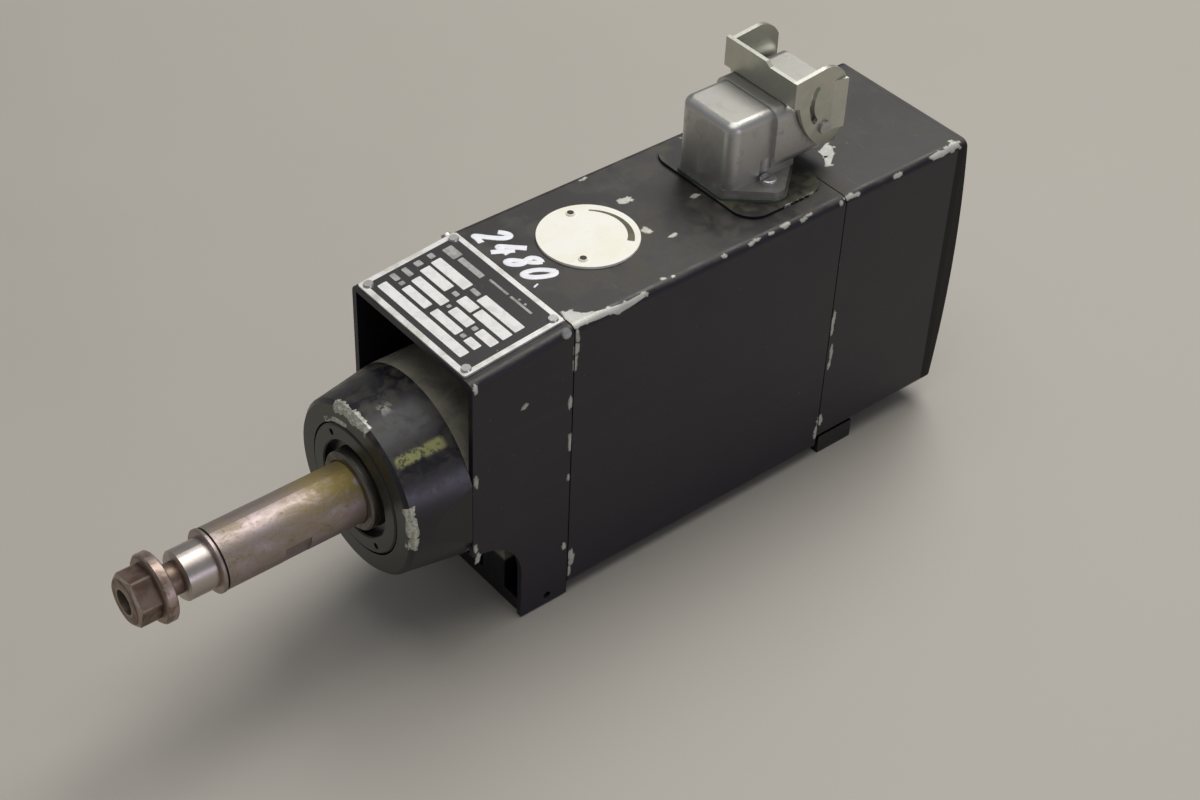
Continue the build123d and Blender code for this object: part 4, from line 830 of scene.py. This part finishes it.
def addTile(mesh, low, high, base, thick, matrix):
    made = bmesh.ops.create_cube(mesh, size=1.0)["verts"]
    size = Vector((high[0] - low[0], high[1] - low[1], thick))
    middle = Vector(((low[0] + high[0]) / 2, (low[1] + high[1]) / 2, base + thick / 2))
    bmesh.ops.scale(mesh, verts=made, vec=size)
    bmesh.ops.translate(mesh, verts=made, vec=middle)
    edges = [edge for edge in mesh.edges if edge.verts[0] in made]
    upright = [edge for edge in edges if abs(edge.verts[0].co.z - edge.verts[1].co.z) > thick / 2]
    rounded = bmesh.ops.bevel(
        mesh,
        geom=upright,
        offset=min(tileSet["corner"], size.x * tileSet["cornerShare"], size.y * tileSet["cornerShare"]),
        offset_type="OFFSET",
        segments=tileSet["segments"],
        profile=0.5,
        affect="EDGES",
        material=-1,
    )["verts"]
    touched = set(made) | set(rounded)
    touched = [v for v in touched if v.is_valid]
    bmesh.ops.transform(mesh, matrix=matrix, verts=touched)


# the hood's sloping top, with the rating plate on it
slopeSet = {"middle": (-91.45, 0, 50.75)}
slopeAcross = Vector((bodySet["hoodLong"], 0, -bodySet["hoodDrop"])).normalized()
slopeUp = Vector((bodySet["hoodDrop"], 0, bodySet["hoodLong"])).normalized()
slopeMatrix = Matrix.Translation(Vector(slopeSet["middle"]) * mm) @ Matrix(
    (slopeAcross * mm, Vector((0, mm, 0)), slopeUp * mm)
).transposed().to_4x4()

plateSet = {
    "base": 0.70,
    "thick": 0.08,
    "fieldThick": 0.12,
    "field": (0.84, 0.82, 0.80),
    "fieldShade": (0.72, 0.70, 0.67),
    "mark": (0.42, 0.41, 0.39),
    "markShade": (0.25, 0.24, 0.22),
    # low u, high u, low v, high v of each blank field
    "fields": [
        (10.9, 14.2, -23.0, 18.4),
        (6.6, 9.6, -17.0, -5.4),
        (6.6, 9.6, -2.9, 9.8),
        (6.6, 9.4, 13.3, 18.6),
        (2.0, 5.3, -18.2, -3.2),
        (2.0, 5.3, 0.2, 9.4),
        (2.0, 5.2, 13.0, 20.8),
        (-2.9, 0.7, -20.2, -7.6),
        (-2.9, 0.7, -1.9, 5.0),
        (-2.9, 0.7, 6.1, 20.8),
        (-7.5, -3.9, -20.9, -4.4),
        (-7.5, -3.9, 1.9, 20.6),
    ],
    "marks": [
        (-13.4, -9.9, -23.4, -17.5),
        (-12.6, -10.6, -16.6, -5.4),
        (-12.9, -12.1, -3.0, 6.0),
        (-12.9, -12.1, 7.2, 17.2),
        (-14.0, -13.2, 9.6, 10.4),
        (-14.0, -13.2, 12.4, 13.2),
        (-6.9, -4.9, -24.6, -22.2),
        (-2.2, 0.2, -24.4, -21.9),
        (2.8, 4.6, -24.4, -20.0),
        (6.9, 8.8, -24.6, -21.0),
        (7.0, 8.8, -20.0, -18.3),
        (-6.8, -5.2, -3.2, 0.6),
        (-2.0, -0.4, -5.8, -3.4),
        (2.8, 4.2, -2.2, -0.9),
        (7.2, 8.8, 10.6, 12.4),
        (2.8, 4.6, 10.4, 12.2),
    ],
}


def plainWhite(name, colour, shade):
    kit = Finish(name, 0.0, 0.4)
    at = kit.place()
    cloud = kit.noise(at, 0.35, 4.0, 0.6, 0.5)
    grit = kit.noise(at, 1.8, 3.0, 0.6)
    base = kit.mix(kit.step(cloud, 0.40, 0.68), colour, shade)
    base = kit.mix(kit.step(grit, 0.62, 0.70) * 0.4, base, tuple(c * 0.5 for c in shade))
    return kit.done(Base_Color=base, Roughness=0.34 + grit * 0.2)


def plateTiles(name, places, thick, finish):
    tiles = bmesh.new()
    for lowU, highU, lowV, highV in places:
        addTile(tiles, (lowU, lowV), (highU, highV), plateSet["base"], thick, slopeMatrix)
    newPiece(name, tiles, finish, "housing")


silverField = plainWhite("plateSilver", plateSet["field"], plateSet["fieldShade"])
plateTiles("plateFields", plateSet["fields"], plateSet["fieldThick"], silverField)
greyMark = plainWhite("plateGrey", plateSet["mark"], plateSet["markShade"])
plateTiles("plateMarks", plateSet["marks"], plateSet["thick"], greyMark)


# arrow on the round label
arrowSet = {
    "middle": (-140.65, -2.1),
    "radius": 13.0,
    "from": 131.0,
    "to": 231.0,
    "wide": 2.3,
    "narrow": 0.5,
    "lift": 53.42,
    "thick": 0.05,
    "steps": 40,
    "ink": (0.070, 0.066, 0.030),
    "inkShade": (0.12, 0.11, 0.055),
}


def labelArrow():
    mesh = bmesh.new()
    middleX, middleY = arrowSet["middle"]
    lift = arrowSet["lift"]
    rows = []
    for step in range(arrowSet["steps"] + 1):
        part = step / arrowSet["steps"]
        angle = math.radians(arrowSet["from"] + (arrowSet["to"] - arrowSet["from"]) * part)
        half = (arrowSet["wide"] + (arrowSet["narrow"] - arrowSet["wide"]) * part) / 2
        row = []
        for r in (arrowSet["radius"] - half, arrowSet["radius"] + half):
            place = Vector((middleX + r * math.cos(angle), middleY + r * math.sin(angle), lift)) * mm
            row.append(mesh.verts.new(place))
        rows.append(row)
    for first, second in zip(rows, rows[1:]):
        mesh.faces.new((first[0], first[1], second[1], second[0]))
    raised = bmesh.ops.extrude_face_region(mesh, geom=mesh.faces[:])["geom"]
    tops = [g for g in raised if isinstance(g, bmesh.types.BMVert)]
    bmesh.ops.translate(mesh, verts=tops, vec=(0, 0, arrowSet["thick"] * mm))
    ink = plainWhite("oliveInk", arrowSet["ink"], arrowSet["inkShade"])
    return newPiece("labelArrow", mesh, ink, "housing")


labelArrow()

# hand-painted number beside the rating plate
numberSet = {
    "lift": 52.61,
    "flatten": 0.14,
    "clear": 0.02,
    "stroke": 2.25,
    "thinnest": 0.9,
    "thicker": 0.22,
    "height": 9.6,
    "origin": (-122.2, -24.6),
    "advance": 7.7,
    "slant": 0.55,
    "squeeze": 0.8,
    "seed": 5,
    "paint": (0.90, 0.90, 0.93),
    "paintShade": (0.80, 0.81, 0.85),
    # each stroke in a unit cell: across the word, up the figure
    "figures": [
        [
            [
                (0.10, 0.78),
                (0.26, 0.98),
                (0.52, 0.97),
                (0.62, 0.76),
                (0.44, 0.42),
                (0.08, 0.03),
                (0.36, 0.06),
                (0.70, 0.02),
            ]
        ],
        [
            [(0.50, 1.0), (0.26, 0.60), (0.06, 0.30), (0.40, 0.31), (0.74, 0.34)],
            [(0.56, 0.62), (0.50, 0.30), (0.44, -0.04)],
        ],
        [
            [
                (0.62, 0.92),
                (0.36, 0.99),
                (0.16, 0.82),
                (0.34, 0.58),
                (0.58, 0.36),
                (0.50, 0.06),
                (0.24, 0.02),
                (0.14, 0.24),
                (0.40, 0.52),
                (0.62, 0.76),
                (0.60, 0.94),
            ]
        ],
        [
            [
                (0.34, 0.98),
                (0.10, 0.78),
                (0.06, 0.32),
                (0.28, 0.02),
                (0.56, 0.18),
                (0.62, 0.64),
                (0.50, 0.94),
                (0.30, 0.97),
            ]
        ],
        [[(0.10, 0.04), (0.16, 0.06)]],
    ],
}


def paintedNumber():
    curve = bpy.data.curves.new("paintedNumber", "CURVE")
    curve.dimensions = "3D"
    curve.bevel_depth = numberSet["stroke"] / 2 * mm
    curve.bevel_resolution = 3
    curve.use_fill_caps = True
    startX, startY = numberSet["origin"]
    lift, height = numberSet["lift"], numberSet["height"]
    draw = random.Random(numberSet["seed"])
    for place, strokes in enumerate(numberSet["figures"]):
        for stroke in strokes:
            spline = curve.splines.new("NURBS")
            spline.points.add(len(stroke) - 1)
            for point, (across, up) in zip(spline.points, stroke):
                leaning = (across + up * numberSet["slant"]) * height * numberSet["squeeze"]
                wordY = startY + place * numberSet["advance"] + leaning
                wordX = startX + (1.0 - up) * height
                point.co = (wordX * mm, wordY * mm, lift * mm, 1.0)
                point.radius = numberSet["thinnest"] + draw.random() * numberSet["thicker"]
            spline.order_u = 3
            spline.use_endpoint_u = True
    holder = bpy.data.objects.new("strokeHolder", curve)
    bpy.context.scene.collection.objects.link(holder)
    bpy.context.view_layer.update()
    shape = bpy.data.meshes.new_from_object(holder.evaluated_get(bpy.context.evaluated_depsgraph_get()))
    bpy.data.objects.remove(holder)
    mesh = bmesh.new()
    mesh.from_mesh(shape)
    for vert in mesh.verts:
        vert.co.z = lift * mm + (vert.co.z - lift * mm) * numberSet["flatten"] + numberSet["clear"] * mm
    paint = plainWhite("whiteMarker", numberSet["paint"], numberSet["paintShade"])
    return newPiece("paintedNumber", mesh, paint, "housing")


paintedNumber()
print("stage: plate, label and number")

# paint chips: places run along the body and round its near top bend, 0 in the bend and more down the side
# points read off the photo were put on the body through the camera's fit, and some then moved
chipSet = {
    "seed": 11,
    "rim": 0.32,
    "primerThick": 0.03,
    "metalThick": 0.08,
    "points": 13,
    "cluster": 4,
    "layers": 7,
    "layerStep": 0.006,
    "jitter": 0.3,
    "reach": (0.30, 0.62),
    "spread": 0.62,
    "sideways": 0.18,
    "share": (0.42, 0.72),
    "crumbShift": (0.9, 0.5),
    "crumbSize": (0.6, 1.6),
    "crumbShape": (1.4, 0.8),
    "primer": (0.30, 0.31, 0.25),
    "primerShade": (0.19, 0.20, 0.16),
    "metal": (0.56, 0.555, 0.52),
    "metalShade": (0.40, 0.395, 0.35),
    # middle along, middle round, length along, length round
    "spots": [
        (-110.9, 3.0, 1.7, 4.4),
        (-110.6, 7.6, 1.9, 4.6),
        (-110.3, 12.8, 1.7, 6.4),
        (-109.0, 26.9, 1.6, 4.8),
        (-109.2, 43.0, 1.3, 7.8),
        (-109.1, 57.2, 0.8, 3.0),
        (-108.3, 86.0, 1.7, 2.7),
        (-111.2, 93.2, 2.6, 6.2),
        (-110.6, 98.6, 1.5, 4.4),
        (-145.4, -2.2, 1.7, 1.6),
        (-148.7, -1.4, 1.3, 1.0),
        (-168.3, -0.3, 1.7, 1.2),
        (-179.4, -0.1, 2.6, 1.3),
        (-181.6, -0.5, 2.8, 0.9),
        (-187.6, -0.5, 2.4, 1.1),
        (-193.6, -0.6, 3.4, 1.8),
        (-201.0, 0.0, 2.6, 1.2),
        (-203.4, -0.4, 2.8, 0.9),
        (-220.6, -0.4, 4.6, 2.4),
        (-223.4, 0.2, 2.6, 1.5),
        (-216.9, 0.5, 1.4, 1.5),
        (-241.8, 0.6, 3.8, 1.7),
        (-219.9, 48.0, 1.6, 6.6),
        (-219.8, 53.2, 1.1, 3.8),
        (-220.5, 62.4, 1.8, 6.6),
        (-220.4, 68.2, 1.5, 4.0),
        (-219.6, 92.0, 3.6, 4.4),
        (-218.3, 96.6, 2.2, 5.4),
        (-74.2, 1.2, 1.7, 3.3),
        (-74.1, 36.2, 1.7, 4.6),
        (-73.9, 63.3, 1.3, 3.5),
        (-74.6, 68.0, 2.2, 3.4),
        (-91.9, 18.2, 2.2, 2.0),
        (-161.8, -39.5, 4.4, 3.8),
        (-157.0, -23.7, 3.2, 3.6),
        (-162.0, -17.0, 3.4, 1.3),
        (-181.0, -28.6, 3.0, 2.1),
        (-158.5, -56.4, 3.4, 1.2),
    ],
    # worn stretches with a shape of their own
    "stretches": [
        [
            (-110.2, 0.0),
            (-110.3, -4.4),
            (-111.2, -7.4),
            (-114.0, -6.4),
            (-115.4, -4.2),
            (-118.2, -2.3),
            (-123.1, -1.2),
            (-129.5, -0.5),
            (-136.6, -0.8),
            (-136.4, 0.4),
            (-131.0, 1.2),
            (-125.6, 1.7),
            (-123.6, 0.5),
            (-119.0, 0.5),
            (-114.5, 0.1),
        ],
        [
            (-256.6, -0.5),
            (-260.4, -0.9),
            (-264.6, -0.5),
            (-268.3, -2.1),
            (-269.8, -1.3),
            (-270.3, 0.8),
            (-266.0, 0.6),
            (-262.4, 1.1),
            (-258.1, 0.9),
        ],
        [
            (-229.2, -23.4),
            (-234.4, -25.5),
            (-234.8, -23.1),
            (-232.5, -19.8),
            (-226.8, -15.6),
            (-225.4, -16.2),
            (-228.6, -20.2),
        ],
    ],
}


def bodyPoint(along, around, lift):
    bend = bodySet["bend"]
    half = bend * math.pi / 4
    high = bodySet["top"] - bodySet["hoodDrop"] * max(0.0, along - seamOne) / bodySet["hoodLong"]
    turn = max(-half, min(half, around)) / bend + math.pi / 4
    y = bodySet["wide"] - bend - max(0.0, -around - half) + (bend + lift) * math.sin(turn)
    z = high - bend - max(0.0, around - half) + (bend + lift) * math.cos(turn)
    return Vector((along, y, z)) * mm


def chipOutline(spot, draw):
    along, around, long, tall = spot
    points = []
    for step in range(chipSet["points"]):
        angle = 2 * math.pi * (step + draw.uniform(-chipSet["jitter"], chipSet["jitter"])) / chipSet["points"]
        reach = draw.uniform(*chipSet["reach"])
        points.append((along + long * reach * math.cos(angle), around + tall * reach * math.sin(angle)))
    return points


def grown(outline, amount):
    moved = []
    for values in zip(*outline):
        middle = sum(values) / len(values)
        growth = 1 + 2 * amount / (max(values) - min(values))
        moved.append([middle + (value - middle) * growth for value in values])
    return list(zip(*moved))


def addChip(mesh, outline, thick, layer):
    flat = bmesh.new()
    flat.faces.new([flat.verts.new((along, around, 0)) for along, around in outline])
    bmesh.ops.triangulate(flat, faces=flat.faces[:])
    half = bodySet["bend"] * math.pi / 4
    cuts = [((0, half * part / 4, 0), (0, 1, 0)) for part in range(-4, 5)]
    edges = [seam + side * bodySet["seamHalf"] for seam in (seamOne, seamTwo) for side in (-1, 1)]
    cuts += [((edge, 0, 0), (1, 0, 0)) for edge in edges]
    for spot, normal in cuts:
        everything = flat.verts[:] + flat.edges[:] + flat.faces[:]
        bmesh.ops.bisect_plane(flat, geom=everything, plane_co=spot, plane_no=normal, dist=1e-5)
    overSeam = []
    for face in flat.faces:
        along = face.calc_center_median().x
        if any(abs(along - seam) < bodySet["seamHalf"] for seam in (seamOne, seamTwo)):
            overSeam.append(face)
    bmesh.ops.delete(flat, geom=overSeam, context="FACES")
    raised = bmesh.ops.extrude_face_region(flat, geom=flat.faces[:])["geom"]
    tops = [g for g in raised if isinstance(g, bmesh.types.BMVert)]
    bmesh.ops.translate(flat, verts=tops, vec=(0, 0, thick + layer))
    for vert in flat.verts:
        vert.co = bodyPoint(*vert.co)
    holder = bpy.data.meshes.new("chipHolder")
    flat.to_mesh(holder)
    flat.free()
    mesh.from_mesh(holder)
    bpy.data.meshes.remove(holder)


def cluster(spot, draw):
    along, around, long, tall = spot
    parts = []
    for part in range(chipSet["cluster"]):
        share = (part + 0.5) / chipSet["cluster"] - 0.5
        slide = share * chipSet["spread"]
        aside = draw.uniform(-chipSet["sideways"], chipSet["sideways"])
        shift = (slide * long, aside * tall) if long > tall else (aside * long, slide * tall)
        size = draw.uniform(*chipSet["share"])
        parts.append((along + shift[0], around + shift[1], long * size, tall * size))
    return [chipOutline(part, draw) for part in parts]


def crumbs(outline, draw):
    found = []
    far, wide = chipSet["crumbShift"]
    longShape, tallShape = chipSet["crumbShape"]
    for along, around in outline:
        shift = (draw.uniform(-far, far), draw.uniform(-wide, wide))
        size = draw.uniform(*chipSet["crumbSize"])
        crumb = (along + shift[0], around + shift[1], size * longShape, size * tallShape)
        found.append(chipOutline(crumb, draw))
    return found


draw = random.Random(chipSet["seed"])
outlines = [outline for spot in chipSet["spots"] for outline in cluster(spot, draw)]
for stretch in chipSet["stretches"]:
    outlines += [stretch] + crumbs(stretch, draw)
primerMesh = bmesh.new()
metalMesh = bmesh.new()
for count, outline in enumerate(outlines):
    layer = count % chipSet["layers"] * chipSet["layerStep"]  # chips that overlap lie on each other
    addChip(primerMesh, grown(outline, chipSet["rim"]), chipSet["primerThick"], layer)
    addChip(metalMesh, outline, chipSet["metalThick"], layer)
primerFinish = plain("chipPrimer", chipSet["primer"], chipSet["primerShade"], 0.55)
metalFinish = plain("chipMetal", chipSet["metal"], chipSet["metalShade"], 0.48, 0.45, scale=1.6)
newPiece("chipPrimer", primerMesh, primerFinish, "housing")
newPiece("chipMetal", metalMesh, metalFinish, "housing")
print("stage: paint chips,", len(outlines))
